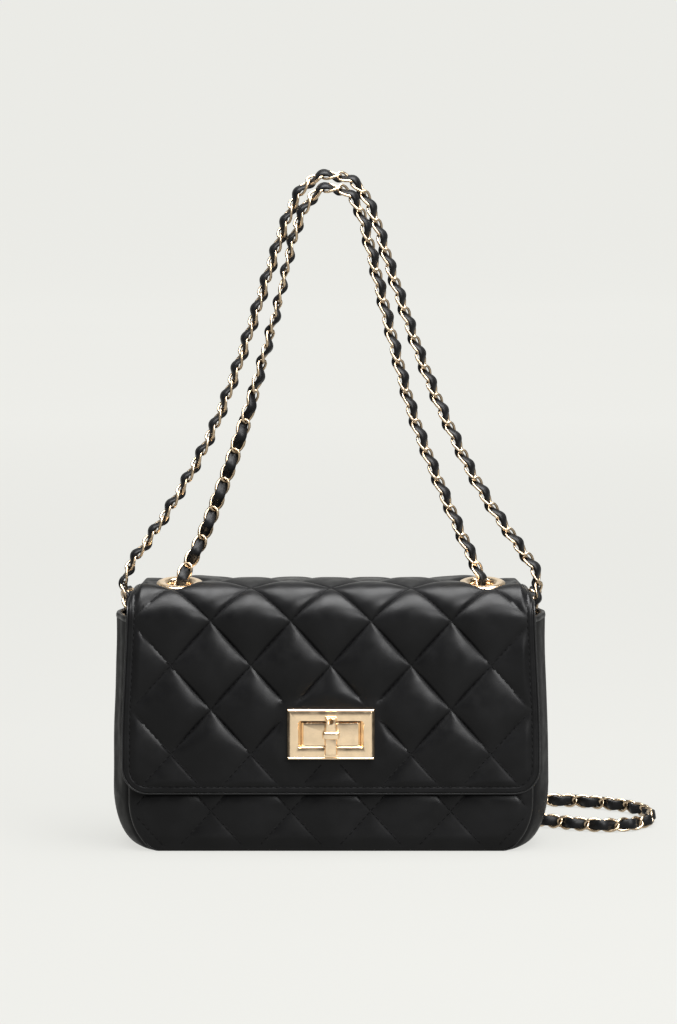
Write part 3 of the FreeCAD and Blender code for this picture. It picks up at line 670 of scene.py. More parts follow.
def layered(name, columns, rows, place, quilted=False):
    """Closed sheet with an outer and an inner face, laid out by place(column, row, inner).

    A quilted sheet has its outer faces poked, so that seams can run along either diagonal.
    """
    deselect()
    bpy.ops.mesh.primitive_grid_add(x_subdivisions=len(columns) - 1,
                                    y_subdivisions=len(rows) - 1, size=1)
    sheet = named(name)
    wall = sheet.modifiers.new("wall", "SOLIDIFY")
    wall.thickness = 0.5
    wall.offset = -1
    apply_all(sheet)
    for polygon in sheet.data.polygons:
        polygon.material_index = 1 if polygon.normal.z < -0.5 else 0
        polygon.select = polygon.normal.z > 0.5
    pick(sheet)
    if quilted:
        bpy.ops.object.mode_set(mode="EDIT")
        bpy.ops.mesh.select_mode(type="FACE")
        bpy.ops.mesh.poke()
        bpy.ops.object.mode_set(mode="OBJECT")
    for v in sheet.data.vertices:
        if quilted:
            column, row = between(columns, v.co.x + 0.5), between(rows, v.co.y + 0.5)
        else:
            column = columns[round((v.co.x + 0.5) * (len(columns) - 1))]
            row = rows[round((v.co.y + 0.5) * (len(rows) - 1))]
        v.co = Vector(place(column, row, v.co.z < -0.25)) * MM
    sheet.data.update()
    bpy.ops.object.mode_set(mode="EDIT")
    bpy.ops.mesh.select_all(action="SELECT")
    bpy.ops.mesh.normals_make_consistent(inside=False)
    bpy.ops.object.mode_set(mode="OBJECT")
    smooth(sheet, 50)
    return sheet


def stitch_pattern():
    """One stitch of thread, 1 long along X, with tucked ends."""
    deselect()
    bpy.ops.mesh.primitive_uv_sphere_add(segments=6, ring_count=5, radius=0.5)
    stitch = named("stitch_pattern")
    stitch.data.transform(Matrix.Rotation(QUARTER, 4, "Y"))
    for v in stitch.data.vertices:
        v.co.x = bent(2 * v.co.x, 0.6) / 2
        v.co.z -= 0.5 * v.co.x ** 2
    return stitch


def sew(name, seams):
    """Stitches along seams, which are lists of (place, outward normal), a stitch apart."""
    long, wide, high = STITCH_SIZE
    matrices = []
    for seam in seams:
        for (a, out_a), (b, out_b) in zip(seam, seam[1:]):
            along = b - a
            side = (out_a + out_b).cross(along).normalized()
            up = along.cross(side).normalized()
            turn = Matrix((along * long, side * wide, up * high)).transposed()
            matrices.append(Matrix.Translation((a + b) / 2 * MM) @ (turn * MM).to_4x4())
    return copies(name, stitch_pattern(), matrices)


def quilt_seams(quilt, node_s, half_width, keep, surface):
    """Seam lines of the quilting: places on the surface where keep(x, s) holds."""
    seams = []
    tall, slope = quilt.tall / MM, quilt.tall / quilt.across
    step_x = quilt.stitch / MM / math.hypot(1, slope)
    count = round(half_width / step_x)
    for sign in (1, -1):
        for k in range(-SEAM_LANES, SEAM_LANES + 1):
            run = []
            for x in (i * step_x for i in range(-count, count + 1)):
                s = node_s + sign * (k * tall - x * slope)
                if keep(x, s):
                    run.append(surface(x, s))
                elif run:
                    seams.append(run)
                    run = []
            seams.append(run)
    return [seam for seam in seams if len(seam) > 1]


# Flap: the profile runs from the flap's bottom edge up the front, over the top and down the back
FACE_RUN = TOP_Z - FRONT_FOLD - FLAP_BOTTOM
FRONT_ARC = FRONT_FOLD * QUARTER
TOP_RUN = (BODY_FACE - BACK_FOLD) - (FLAP_FACE + FRONT_FOLD)
BACK_ARC = BACK_FOLD * QUARTER
TOP_START = FACE_RUN + FRONT_ARC
TOP_END = TOP_START + TOP_RUN
FLAP_RUN = TOP_END + BACK_ARC + TOP_Z - BACK_FOLD - BACK_TOP
TOP_SAG = 2.8               # the top sags behind its crest between the eyelets
TOP_CREST = 0.9             # and stands a little high along the crest
FLAP_NODE = 68.0            # a crossing of the quilting on the middle line, from the bottom edge
HEM = 3.4                   # the hem's sewn row, from the edge
PLATE_SEAT = -0.05          # height of the leather under the lock's plate


def flap_profile(s):
    """Place and outward direction in the YZ plane at a distance s from the bottom edge."""
    if s < FACE_RUN:
        return FLAP_FACE, FLAP_BOTTOM + s, -1.0, 0.0
    s -= FACE_RUN
    if s < FRONT_ARC:
        turn = s / FRONT_FOLD
        ny, nz = -math.cos(turn), math.sin(turn)
        return FLAP_FACE + FRONT_FOLD * (1 + ny), TOP_Z - FRONT_FOLD * (1 - nz), ny, nz
    s -= FRONT_ARC
    if s < TOP_RUN:
        return FLAP_FACE + FRONT_FOLD + s, TOP_Z, 0.0, 1.0
    s -= TOP_RUN
    if s < BACK_ARC:
        turn = s / BACK_FOLD
        ny, nz = math.sin(turn), math.cos(turn)
        return BODY_FACE - BACK_FOLD * (1 - ny), TOP_Z - BACK_FOLD * (1 - nz), ny, nz
    return BODY_FACE, TOP_Z - BACK_FOLD - (s - BACK_ARC), 1.0, 0.0


def flap_half(s):
    """Half the flap's width: it flares a little towards its rounded bottom corners."""
    half = TOP_HALF + 1.2 * ease(TOP_START + 10, FACE_RUN + FRONT_ARC * 0.6, s)
    half += 3.0 * ease(FACE_RUN + 14, 22, s)
    if s < FLAP_CORNER:
        half -= FLAP_CORNER - math.sqrt(FLAP_CORNER ** 2 - (FLAP_CORNER - s) ** 2)
    return half


def flap_edge(x, s):
    """Distance to the flap's free edges."""
    full = flap_half(max(s, FLAP_CORNER))
    inner = full - FLAP_CORNER
    if s < FLAP_CORNER and abs(x) > inner:
        return FLAP_CORNER - math.hypot(FLAP_CORNER - s, abs(x) - inner)
    return min(full - abs(x), s)


def flap_stand(x, s, quilt):
    """How far the flap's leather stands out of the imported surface."""
    y, z, ny, nz = flap_profile(s)
    edge, on_top = flap_edge(x, s), ease(0.6, 1.0, nz)
    inside = ease(3.0, 7.0, edge) * ease(FLAP_RUN - 1, FLAP_RUN - 7, s)
    full = ease(8, 34, s) * (1 - 0.7 * ease(70, 94, abs(x)) * ease(TOP_START, FACE_RUN, s))
    pillow, groove = quilting(x, s, quilt, FLAP_NODE, full)
    puff = quilt.puff / MM * (1 - 0.08 * on_top) * pillow
    stand = -SEAM_SINK + inside * (puff + 0.3 * ripple(x, y, z))
    stand += TOP_CREST * on_top * ease(2, 18, edge) - groove * ease(HEM, HEM + 1, edge)
    if s < FACE_RUN:
        away = beyond(x, z - LOCK_Z, PLATE[0] / 2 + 0.5, PLATE[1] / 2 + 0.5)
        stand = mix(PLATE_SEAT, stand, ease(0, 7.5, away))
    elif nz > 0.3:
        back = y - EYELET_Y
        away = math.hypot(abs(x) - EYELET_X, back * (1 if back > 0 else 0.62))
        seat = max(back * math.tan(EYELET_TILT) - EYELET_SINK, -3.7)
        stand = mix(seat, stand, ease(12.6, 18, away))
    crease = 0.1 * math.exp(-((edge - 1.5) / 0.35) ** 2)
    sewn = 0.35 * math.exp(-((edge - HEM) / 0.5) ** 2)
    return stand - crease - sewn - rounded(edge, 1.3)


def top_drop(x, s):
    """How far the top sinks: round its side edges, and behind its crest between the eyelets."""
    y, z, ny, nz = flap_profile(s)
    shoulder = rounded(max(flap_edge(x, s), 0.0), 4.0) * ease(0.25, 0.95, nz)
    behind = ease(TOP_START + 19, TOP_START + 43, s) * ease(FLAP_RUN - 6, FLAP_RUN - 26, s)
    held = 0.75 * math.exp(-((abs(x) - EYELET_X) / 13) ** 2)
    return shoulder + TOP_SAG * behind * (1 - held)


def flap_point(x, s, stand):
    y, z, ny, nz = flap_profile(s)
    stand -= top_drop(x, s)
    return Vector((x, y + ny * stand, z + nz * stand))


def flap_leather(quilt):
    """Quilted flap and top in one piece, with its lining on the inner face."""
    columns = seam_places(-FLAP_HALF, FLAP_HALF, 0, quilt.across)
    rows = seam_places(0, FLAP_RUN, FLAP_NODE, quilt.tall)

    def place(column, s, inner):
        x = to_edge(column, FLAP_HALF, flap_half(s), FLAP_HALF - FLAP_CORNER - 3)
        if inner:
            return flap_point(x, s, -FLAP_THICK + rounded(flap_edge(x, s), 1.1))
        return flap_point(x, s, flap_stand(x, s, quilt))

    flap = layered("flap_leather", columns, rows, place, quilted=True)
    bm = bmesh.new()
    bm.from_mesh(flap.data)
    for side in (-1, 1):
        def covered(face):
            c = face.calc_center_median() / MM
            return c.z > TOP_Z - 6 and math.hypot(c.x - side * EYELET_X, c.y - EYELET_Y) < 8.6
        bmesh.ops.delete(bm, geom=[f for f in bm.faces if covered(f)], context="FACES")
        bmesh.ops.bridge_loops(bm, edges=[e for e in bm.edges if e.is_boundary])
    bm.to_mesh(flap.data)
    bm.free()
    return flap


def flap_outline(sides, bends, count, margin):
    """Line a margin inside the flap's edge: down one side, along the bottom and up the other."""
    inner, corner = flap_half(FLAP_CORNER) - FLAP_CORNER, FLAP_CORNER - margin
    side = [(flap_half(s) - margin, s) for s in sides]
    for a in (QUARTER * k / bends for k in range(1, bends + 1)):
        side.append((inner + corner * math.cos(a), FLAP_CORNER - corner * math.sin(a)))
    bottom = [(inner - 2 * inner * k / count, margin) for k in range(1, count)]
    return side + bottom + [(-x, s) for x, s in reversed(side)]


def flap_seams(quilt):
    """Seams of the flap: its quilting and the row along its edge."""
    def surface(x, s):
        y, z, ny, nz = flap_profile(s)
        stand = flap_stand(x, s, quilt) + THREAD_LIFT
        return flap_point(x, s, stand), Vector((0, ny, nz))

    def keep(x, s):
        y, z, ny, nz = flap_profile(s)
        if s < FACE_RUN and abs(x) < PLATE[0] / 2 + 1.5 and abs(z - LOCK_Z) < PLATE[1] / 2 + 1.5:
            return False
        if nz > 0.99 and math.hypot(abs(x) - EYELET_X, y - EYELET_Y) < 14:
            return False
        return 3 < s < FLAP_RUN - 3 and flap_edge(x, s) > HEM + 1

    step = quilt.stitch / MM
    sides = [TOP_END - k * step for k in range(math.ceil((TOP_END - FLAP_CORNER) / step))]
    bends = max(2, round((FLAP_CORNER - HEM) * QUARTER / step))
    count = round(2 * (flap_half(FLAP_CORNER) - FLAP_CORNER) / step)
    hem = [surface(x, s) for x, s in flap_outline(sides, bends, count, HEM)]
    return quilt_seams(quilt, FLAP_NODE, FLAP_HALF, keep, surface) + [hem]


def flap_bead():
    """Painted edge that runs down one side of the flap, along its bottom and up the other side."""
    outline = flap_outline(spread(FLAP_CORNER, TOP_END)[::-1], 12, 60, 0.0)
    places = [flap_point(x, s, -SEAM_SINK - 1.3) for x, s in outline]
    path = []
    for i, (x, s) in enumerate(outline):
        y, z, ny, nz = flap_profile(s)
        ahead = heading(places, i)
        inward = Vector((0, ny, nz)).cross(ahead).normalized()
        path.append((places[i] + inward * 0.3, inward, ahead.cross(inward)))
    return swept("flap_bead", path, soft_section(1.1, 1.5, 0.9))


class BAG_OT_flap(bpy.types.Operator):
    """Make the quilted flap that folds in front of the eyelets"""
    bl_idname = "bag.flap"
    bl_label = "Flap"

    def execute(self, context):
        quilt = context.scene.bag_quilt
        flap = dress(flap_leather(quilt), None, "quilted_leather", "black_calf", "lining_cloth")
        stitches = sew("flap_stitches", flap_seams(quilt))
        dress(stitches, None, "quilted_leather", "black_thread")
        bead = dress(flap_bead(), None, "quilted_leather", "edge_paint")
        for piece in (flap, stitches, bead):
            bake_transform(piece)
        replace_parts(flap, "flap_top", "flap_top_padding", "flap_top_lining",
                    "flap_front", "flap_padding", "flap_lining")
        return {"FINISHED"}


CORNER_WIDE, CORNER_TALL = 18.0, 27.0     # soft bottom corners, a little taller than wide
CORNER_ROWS = 22
BODY_NODE = 45.5                          # a crossing of the body's quilting on the middle line
BODY_PUFF = 2.7
STRIP_CORNER = (14.5, 30.0)               # the strip stands fuller round the corners than the walls
STRIP_THICK, LINING_INSET, LINING_THICK = 2.0, 2.05, 0.75


def cup_half(z):
    """Half the body's width at a height, with its soft bottom corners."""
    if z >= CORNER_TALL:
        return SEAM_HALF
    return SEAM_HALF - CORNER_WIDE * (1 - math.sqrt(max(0.0, 1 - (1 - z / CORNER_TALL) ** 2)))


def cup_edge(x, z):
    """Distance to the sides and bottom of a panel, nearly."""
    u, v = abs(x) - (SEAM_HALF - CORNER_WIDE), CORNER_TALL - z
    if u > 0 and v > 0:
        reach = math.hypot(u / CORNER_WIDE, v / CORNER_TALL)
        return (1 - reach) * (CORNER_WIDE * u + CORNER_TALL * v) / (u + v)
    return min(SEAM_HALF - abs(x), z)


def cup_rows(top):
    """Heights of a panel's rows, close together round the bottom corners."""
    low = [CORNER_TALL * (1 - math.cos(QUARTER * k / CORNER_ROWS)) for k in range(CORNER_ROWS)]
    count = round((top - CORNER_TALL) / GRID_STEP)
    return low + [mix(CORNER_TALL, top, k / count) for k in range(count + 1)]


def panel_stand(x, z, quilt, top, belly, magnet):
    """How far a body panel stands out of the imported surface; belly swells its lower part."""
    edge = cup_edge(x, z)
    inside = ease(1.0, 9.0, edge) * ease(top, top - 6, z)
    low = belly * ease(36, 26, z) * ease(0, 9, edge)
    pillow, groove = quilting(x, z, quilt, BODY_NODE, ease(30, 62, z))
    stand = -SEAM_SINK + inside * (BODY_PUFF * pillow + 0.25 * ripple(x, 40, z))
    stand += low - groove * ease(2.0, 4.0, edge) - rounded(edge, 2.4)
    if magnet:
        away = beyond(x, z - MAGNET_Z, *MAGNET_HALF)
        stand = mix(-0.2, stand, ease(0.4, 8, away))
    return stand


def body_panel(name, quilt, facing, top, belly, magnet):
    """Quilted front or back wall; facing is -1 at the front and 1 at the back."""
    columns = seam_places(-SEAM_HALF, SEAM_HALF, 0, quilt.across)
    rows = seam_places(0, top, BODY_NODE, quilt.tall)

    def place(column, z, inner):
        x = to_edge(column, SEAM_HALF, cup_half(z), SEAM_HALF - CORNER_WIDE - 3)
        stand = -PANEL_THICK + 0.1 if inner else panel_stand(x, z, quilt, top, belly, magnet)
        return x, facing * (BODY_FACE + stand), z

    def surface(x, z):
        stand = panel_stand(x, z, quilt, top, belly, magnet) + THREAD_LIFT
        return Vector((x, facing * (BODY_FACE + stand), z)), BACKWARD * facing

    def keep(x, z):
        on_magnet = magnet and beyond(x, z - MAGNET_Z, *MAGNET_HALF) == 0
        return 2 < z < top - 3 and cup_edge(x, z) > 3.0 and not on_magnet

    panel = layered(name, columns, rows, place, quilted=True)
    seams = quilt_seams(quilt, BODY_NODE, SEAM_HALF, keep, surface)
    dress(panel, "body", "quilted_leather", "black_calf", "lining_cloth")
    dress(sew(name + "_stitches", seams), "body", "quilted_leather", "black_thread")
    return panel


class BAG_OT_walls(bpy.types.Operator):
    """Make the quilted front and back walls"""
    bl_idname = "bag.walls"
    bl_label = "Walls"

    def execute(self, context):
        quilt = context.scene.bag_quilt
        front = body_panel("front_quilt", quilt, -1, FRONT_TOP, 1.6, True)
        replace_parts(front, "front_panel", "front_padding")
        back = body_panel("back_quilt", quilt, 1, BACK_TOP, 0.8, False)
        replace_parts(back, "back_panel", "back_padding")
        return {"FINISHED"}


def strip_half(y):
    """Half the body's width where the gussets swell, tucked in along the seams."""
    tuck = 1.2 * ease(SEAM_Y - 3.5, SEAM_Y, abs(y))
    return SEAM_HALF + BULGE * (1 - (y / SEAM_Y) ** 2) - tuck


def strip_stations():
    """Places round the body from the left mouth under the base to the right, as (part, share)."""
    rise = [("left", k / 40) for k in range(40)]
    turn = [("left_turn", k / 16) for k in range(16)]
    base = [("base", k / 30) for k in range(31)]
    mirror = {"left": "right", "left_turn": "right_turn"}
    return rise + turn + base + [(mirror[part], share) for part, share in reversed(rise + turn)]


def strip_point(part, share, y, inset, top):
    """Place on the strip that runs round the sides and the base."""
    half = strip_half(y) - inset
    wide, tall = STRIP_CORNER[0] - inset, STRIP_CORNER[1] - inset
    lift = inset + tall
    side = -1 if part.startswith("left") else 1
    soft = ease(SEAM_Y, SEAM_Y - 8, abs(y))
    if part in ("left", "right"):
        z = mix(top, lift, share)
        crease = 0.35 * math.cos(2 * math.pi * (abs(y) - 21 + 3 * ripple(0, y, z / 3)) / 17)
        slack = 0.7 * ripple(side * 60, y, z / 2)
        swell = crease + slack - 0.3 - 2.2 * ease(50, top, z)
        return Vector((side * (half + swell * soft), y, z))
    if part == "base":
        x = (half - wide) * (2 * share - 1)
        return Vector((x, y, inset + 0.25 * (1 + ripple(x, y, 0)) * soft))
    a = QUARTER * share
    return Vector((side * (half - wide + wide * math.cos(a)), y, lift - tall * math.sin(a)))


def strip_sheet(name, inset, thick, top, reach):
    """Soft strip round the body, as a lofted sheet with two faces."""
    across = [reach * math.sin(QUARTER * (k / 18 - 1)) for k in range(37)]

    def place(y, station, inner):
        return strip_point(*station, y, inset + (thick if inner else 0), top)

    return layered(name, across, strip_stations(), place)


def gusset_binding(word, side):
    """Turned edge on top of a gusset."""
    path = []
    for y in (mix(-SEAM_Y, SEAM_Y, k / 40) for k in range(41)):
        place = strip_point(word, 0, y, 1.4, GUSSET_TOP) + UPWARD * 0.6
        ahead = Vector((side * -2 * BULGE * y / SEAM_Y ** 2, 1, 0)).normalized()
        path.append((place, ahead.cross(UPWARD), UPWARD))
    return swept("gusset_edge_" + word, path, soft_section(3.3, 3.0))


def seam_welt(name, facing, top):
    """Narrow turned welt along the seam between a wall and the strip."""
    path, out = [], BACKWARD * facing
    places = [strip_point(*station, facing * SEAM_Y, 0, top) for station in strip_stations()]
    for i, place in enumerate(places):
        inward = heading(places, i).cross(out) * facing
        path.append((place + inward * 0.7 + out * 0.7, out, inward))
    return swept(name, path, soft_section(2.6, 1.3, 0.8))


class BAG_OT_gussets(bpy.types.Operator):
    """Make the strip that runs round the sides and base, its welts and its turned edges"""
    bl_idname = "bag.gussets"
    bl_label = "Gussets"

    def execute(self, context):
        strip = strip_sheet("gusset_strip", 0, STRIP_THICK, GUSSET_TOP, SEAM_Y)
        dress(strip, "body", "quilted_leather", "side_calf", "lining_cloth")
        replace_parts(strip, "gusset_left", "base_panel", "gusset_right")
        for word, side in SIDES:
            edge = dress(gusset_binding(word, side), "body", "quilted_leather", "black_calf")
            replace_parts(edge, "gusset_binding_" + word)
        for name, facing, top in (("front_welt", -1, FRONT_TOP), ("back_welt", 1, BACK_TOP)):
            dress(seam_welt(name, facing, top), "body", "quilted_leather", "black_calf")
        lip = [(Vector((x, -SEAM_Y - 1.6, FRONT_TOP + 0.6)), BACKWARD, UPWARD)
               for x in spread(-SEAM_HALF + 2.8, SEAM_HALF - 2.8)]
        mouth = swept("mouth_edge", lip, soft_section(5.2, 3.0))
        dress(mouth, "body", "quilted_leather", "black_calf")
        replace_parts(mouth, "mouth_binding")
        return {"FINISHED"}


def lining_wall(name, facing, top):
    """Flat lining on the inner side of a wall, a little slack."""
    margin, floor = 3.0, 2.8
    half = SEAM_HALF - margin

    def place(column, z, inner):
        x = column * (cup_half(z) - margin)
        slack = 0.25 * (1 + ripple(x, facing * 20, z))
        slack *= ease(0, 10, min(half - abs(x), z - floor))
        return x, facing * (SEAM_Y - (0.45 + slack if inner else 0)), z

    columns = [x / half for x in spread(-half, half)][::3] + [1.0]
    rows = [z for z in cup_rows(top) if z > floor][::3] + [top]
    wall = layered(name, columns, rows, place)
    return dress(wall, "body", "lining_fabric", "lining_cloth", "lining_cloth")


def pocket_sag(x):
    """How far the pocket's mouth sags."""
    return 1.2 * (1 - (x / POCKET_HALF) ** 2)


def pocket_place(x, z, inner):
    sag = pocket_sag(x) * ease(60, POCKET_TOP, z)
    face = SEAM_Y - 0.9 - (0 if inner else 0.7 + 0.5 * sag)
    return x, face, z - (sag if z > POCKET_TOP - 12 else 0)


class BAG_OT_lining(bpy.types.Operator):
    """Make the lining and the slip pocket"""
    bl_idname = "bag.lining"
    bl_label = "Lining"

    def execute(self, context):
        strip = strip_sheet("lining_strip", LINING_INSET, LINING_THICK, GUSSET_TOP, SEAM_Y - 0.2)
        dress(strip, "body", "lining_fabric", "lining_cloth", "lining_cloth")
        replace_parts(strip, "lining_left", "lining_base", "lining_right")
        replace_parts(lining_wall("lining_wall_front", -1, FRONT_TOP), "lining_front")
        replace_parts(lining_wall("lining_wall_back", 1, BACK_TOP), "lining_back")
        across = spread(-POCKET_HALF, POCKET_HALF)
        rows = spread(POCKET_LOW, POCKET_TOP)[::2] + [POCKET_TOP]
        pocket = layered("slip_pocket", across[::2] + [POCKET_HALF], rows, pocket_place)
        dress(pocket, "body", "lining_fabric", "lining_cloth", "lining_cloth")
        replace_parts(pocket, "inner_pocket")
        lip = []
        for x in across:
            sag = pocket_sag(x)
            place = Vector((x, SEAM_Y - 1.5 - 0.3 * sag, POCKET_TOP + 0.8 - sag))
            lip.append((place, BACKWARD, UPWARD))
        edge = swept("slip_pocket_edge", lip, soft_section(1.6, 3.0))
        dress(edge, "body", "quilted_leather", "black_calf")
        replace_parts(edge, "pocket_binding")
        return {"FINISHED"}


# Section of an eyelet as (radius, height): its dome, and the lip that rolls down into its barrel
EYELET_SECTION = [
    (12.1, -0.5), (12.5, 0.0), (12.45, 0.5), (12.1, 0.95), (11.4, 1.3), (10.3, 1.5), (9.0, 1.5),
    (7.8, 1.2), (6.9, 0.6), (6.45, -0.4), (6.3, -1.8), (6.3, -5.2), (7.0, -5.2), (7.0, -1.6),
    (7.6, -0.6), (9.0, -0.1)]


def eyelet_ring(word, side):
    """Domed eyelet, spun about its axis and set on the top's leather."""
    bm = bmesh.new()
    verts = [bm.verts.new((r * MM, 0, h * MM)) for r, h in EYELET_SECTION]
    edges = [bm.edges.new(pair) for pair in zip(verts, verts[1:] + verts[:1])]
    bmesh.ops.spin(bm, geom=verts + edges, cent=(0, 0, 0), axis=(0, 0, 1),
                   angle=2 * math.pi, steps=72)
    bmesh.ops.remove_doubles(bm, verts=bm.verts, dist=0.02 * MM)
    ring = from_bmesh("eyelet_ring_" + word, bm, 50)
    place = Vector((side * EYELET_X, EYELET_Y, TOP_Z - EYELET_SINK)) * MM
    ring.data.transform(Matrix.Translation(place) @ Matrix.Rotation(EYELET_TILT, 4, "X"))
    return ring


def rounded_loop(half_x, half_z, corner, y, sides=6):
    """Rounded rectangle about the middle of the lock, facing the front."""
    loop = []
    for quarter, (sx, sz) in enumerate(((1, 1), (-1, 1), (-1, -1), (1, -1))):
        for k in range(sides + 1):
            a = QUARTER * (quarter + k / sides)
            loop.append(Vector((sx * (half_x - corner) + corner * math.cos(a), y,
                                sz * (half_z - corner) + corner * math.sin(a) + LOCK_Z)))
    return loop


def nested(name, loops, ring=False):
    """Metal piece skinned over loops, with its edges a little softened."""
    piece = skin(name, loops, ring=ring)
    edge = piece.modifiers.new("edge", "BEVEL")
    edge.width = 0.12 * MM
    edge.segments = 2
    edge.limit_method = "ANGLE"
    edge.angle_limit = math.radians(25)
    apply_all(piece)
    smooth(piece, 30)
    return piece


def lock_face():
    """Plate with rolled lips, bevelled ends and a window that slopes down to the island."""
    wide, tall = PLATE[0] / 2, PLATE[1] / 2 - 0.4
    window, high = WINDOW[0] / 2, WINDOW[1] / 2
    front = FLAP_FACE - PLATE_THICK
    face = nested("lock_face", [rounded_loop(*row) for row in (
        (wide - 0.3, tall - 0.3, 0.3, FLAP_FACE), (wide, tall, 0.4, FLAP_FACE - 0.4),
        (wide, tall, 0.4, front + 2.2), (wide - 1.5, tall - 0.9, 0.3, front + 0.25),
        (wide - 1.7, tall - 1.9, 0.25, front), (window, high, 1.4, front),
        (window - 1.5, high - 0.5, 0.9, front + 1.9),
        (window - 1.6, high - 0.6, 0.8, FLAP_FACE))], ring=True)
    lips = []
    for reach, height, size in ((wide - 0.5, tall - 0.6, 1.1), (wide - 0.5, 0.6 - tall, 1.1),
                                (window - 1.4, 0.25 - high, 0.8)):
        path = [(Vector((x, front + 0.45, LOCK_Z + height)), UPWARD, -BACKWARD)
                for x in (-reach, reach)]
        lips.append(swept("lip", path, soft_section(size, size, 0.9)))
    pick(face, *lips)
    bpy.ops.object.join()
    return face


def lock_boss():
    """Raised island with bevelled sides in the plate's window."""
    wide, tall, front = WINDOW[0] / 2 - 1.7, WINDOW[1] / 2 - 0.9, FLAP_FACE - 2.6
    return nested("lock_boss", [rounded_loop(*row) for row in (
        (wide, tall, 0.5, FLAP_FACE), (wide, tall, 0.5, front + 1.6),
        (wide - 1.2, tall - 0.3, 0.3, front + 0.15), (wide - 1.35, tall - 1.2, 0.3, front))])


def bar_loops(*rows, corner=0.3):
    """Loops of a part of the turn bar, as (half width, low, high, y) from the lock's middle."""
    return [[p + UPWARD * ((low + high) / 2)
             for p in rounded_loop(half, (high - low) / 2, corner, y, 3)]
            for half, low, high, y in rows]


def taper(loop):
    """Narrows a loop of the bar towards its upper end."""
    return [Vector((p.x * (1 - 0.18 * ease(2, 10.5, p.z - LOCK_Z)), p.y, p.z)) for p in loop]


def lock_bar():
    """Turn bar: a lower lug, a round-sided collar and a tapered upper lug with a hollow tip."""
    back = FLAP_FACE - PLATE_THICK - 0.5
    front = back - 4.4
    bar = nested("turn_bar_gold", bar_loops(
        (3.1, -10.3, 1.0, back), (3.4, -10.5, 1.0, back - 0.4), (3.4, -10.5, 1.0, front + 1.8),
        (2.8, -10.1, 1.0, front + 0.3), (2.55, -9.8, 1.0, front)))
    upper = nested("upper_lug", [taper(loop) for loop in bar_loops(
        (3.3, -1.0, 9.4, back), (3.7, -1.0, 9.6, back - 0.4), (3.7, -1.0, 9.6, front + 2.2),
        (2.8, -1.0, 9.3, front + 0.3), (2.55, -1.0, 9.1, front))])
    bpy.ops.mesh.primitive_cylinder_add(vertices=24, radius=1.5 * MM, depth=5 * MM)
    hollow = named("hollow")
    hollow.data.transform(
        Matrix.Translation(Vector((0, front + 0.9, LOCK_Z + 7.1)) * MM)
        @ Matrix.Rotation(math.radians(62), 4, "X") @ Matrix.Diagonal((1.05, 1, 1, 1)))
    cut = upper.modifiers.new("hollow", "BOOLEAN")
    cut.operation, cut.solver, cut.object = "DIFFERENCE", "EXACT", hollow
    apply_all(upper)
    bpy.data.objects.remove(hollow)
    collar = nested("collar", (
        bar_loops((3.9, -2.0, 2.0, back + 0.1), corner=1.2)
        + bar_loops((4.5, -2.1, 2.1, back - 1.0), (4.6, -2.1, 2.1, front + 1.6), corner=1.4)
        + bar_loops((4.1, -2.0, 2.0, front + 0.2), corner=1.2)
        + bar_loops((3.4, -1.5, 1.5, front - 0.5), corner=0.9)))
    pick(bar, upper, collar)
    bpy.ops.object.join()
    smooth(bar, 30)
    return bar


def box_of(node):
    """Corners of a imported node's box, in millimetres."""
    return [Vector(corner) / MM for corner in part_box(node)]


def gusset_ring(word):
    """Rounded wire ring at the top of a gusset."""
    low, high = box_of("gusset_ring_" + word)
    middle, radius = (low + high) / 2, RING_WIRE / 2
    half_y, half_z = (high.y - low.y) / 2 - radius, (high.z - low.z) / 2 - radius

    def place(a, b):
        c, s = math.cos(a), math.sin(a)
        out = Vector((0, half_z * c, half_y * s)).normalized()
        centre = middle + Vector((0, half_y * bent(c, 0.5), half_z * bent(s, 0.5)))
        return centre + (out * math.cos(b) + Vector((math.sin(b), 0, 0))) * radius

    ring = wire_ring("strap_ring_" + word, 48, 10, place)
    smooth(ring, 180)
    return ring


def ring_tab(word, side):
    """Leather tab that goes up the gusset's lining, round the ring's lower bar and down again."""
    low, high = box_of("ring_tab_" + word)
    ring_low, ring_high = box_of("gusset_ring_" + word)
    x, z = (ring_low.x + ring_high.x) / 2, ring_low.z + RING_WIRE / 2
    wall = (low.x if side < 0 else high.x) - side * 0.65
    reach = RING_WIRE / 2 + 0.75
    line = [(wall, mix(low.z, z, k / 8)) for k in range(8)]
    line += [(x + side * reach * math.cos(a), z + reach * math.sin(a))
             for a in (math.pi * k / 10 for k in range(11))]
    line += [(x - side * reach, z - 0.9 * k) for k in range(1, 4)]
    line += [(x - side * reach + side * 1.1 * k / 3, z - 2.7 - 2.2 * k) for k in range(1, 4)]
    places = [Vector((px, (low.y + high.y) / 2, pz)) for px, pz in line]
    path = [(place, BACKWARD, heading(places, i).cross(BACKWARD))
            for i, place in enumerate(places)]
    return swept("strap_tab_" + word, path, soft_section(high.y - low.y, 1.3, 0.35))


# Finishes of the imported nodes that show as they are, by their slot in the record
NODE_FINISHES = {"gold_fittings": "gold_plate", "magnet_steel": "magnet_plate",
                 "base_board": "pressed_board"}


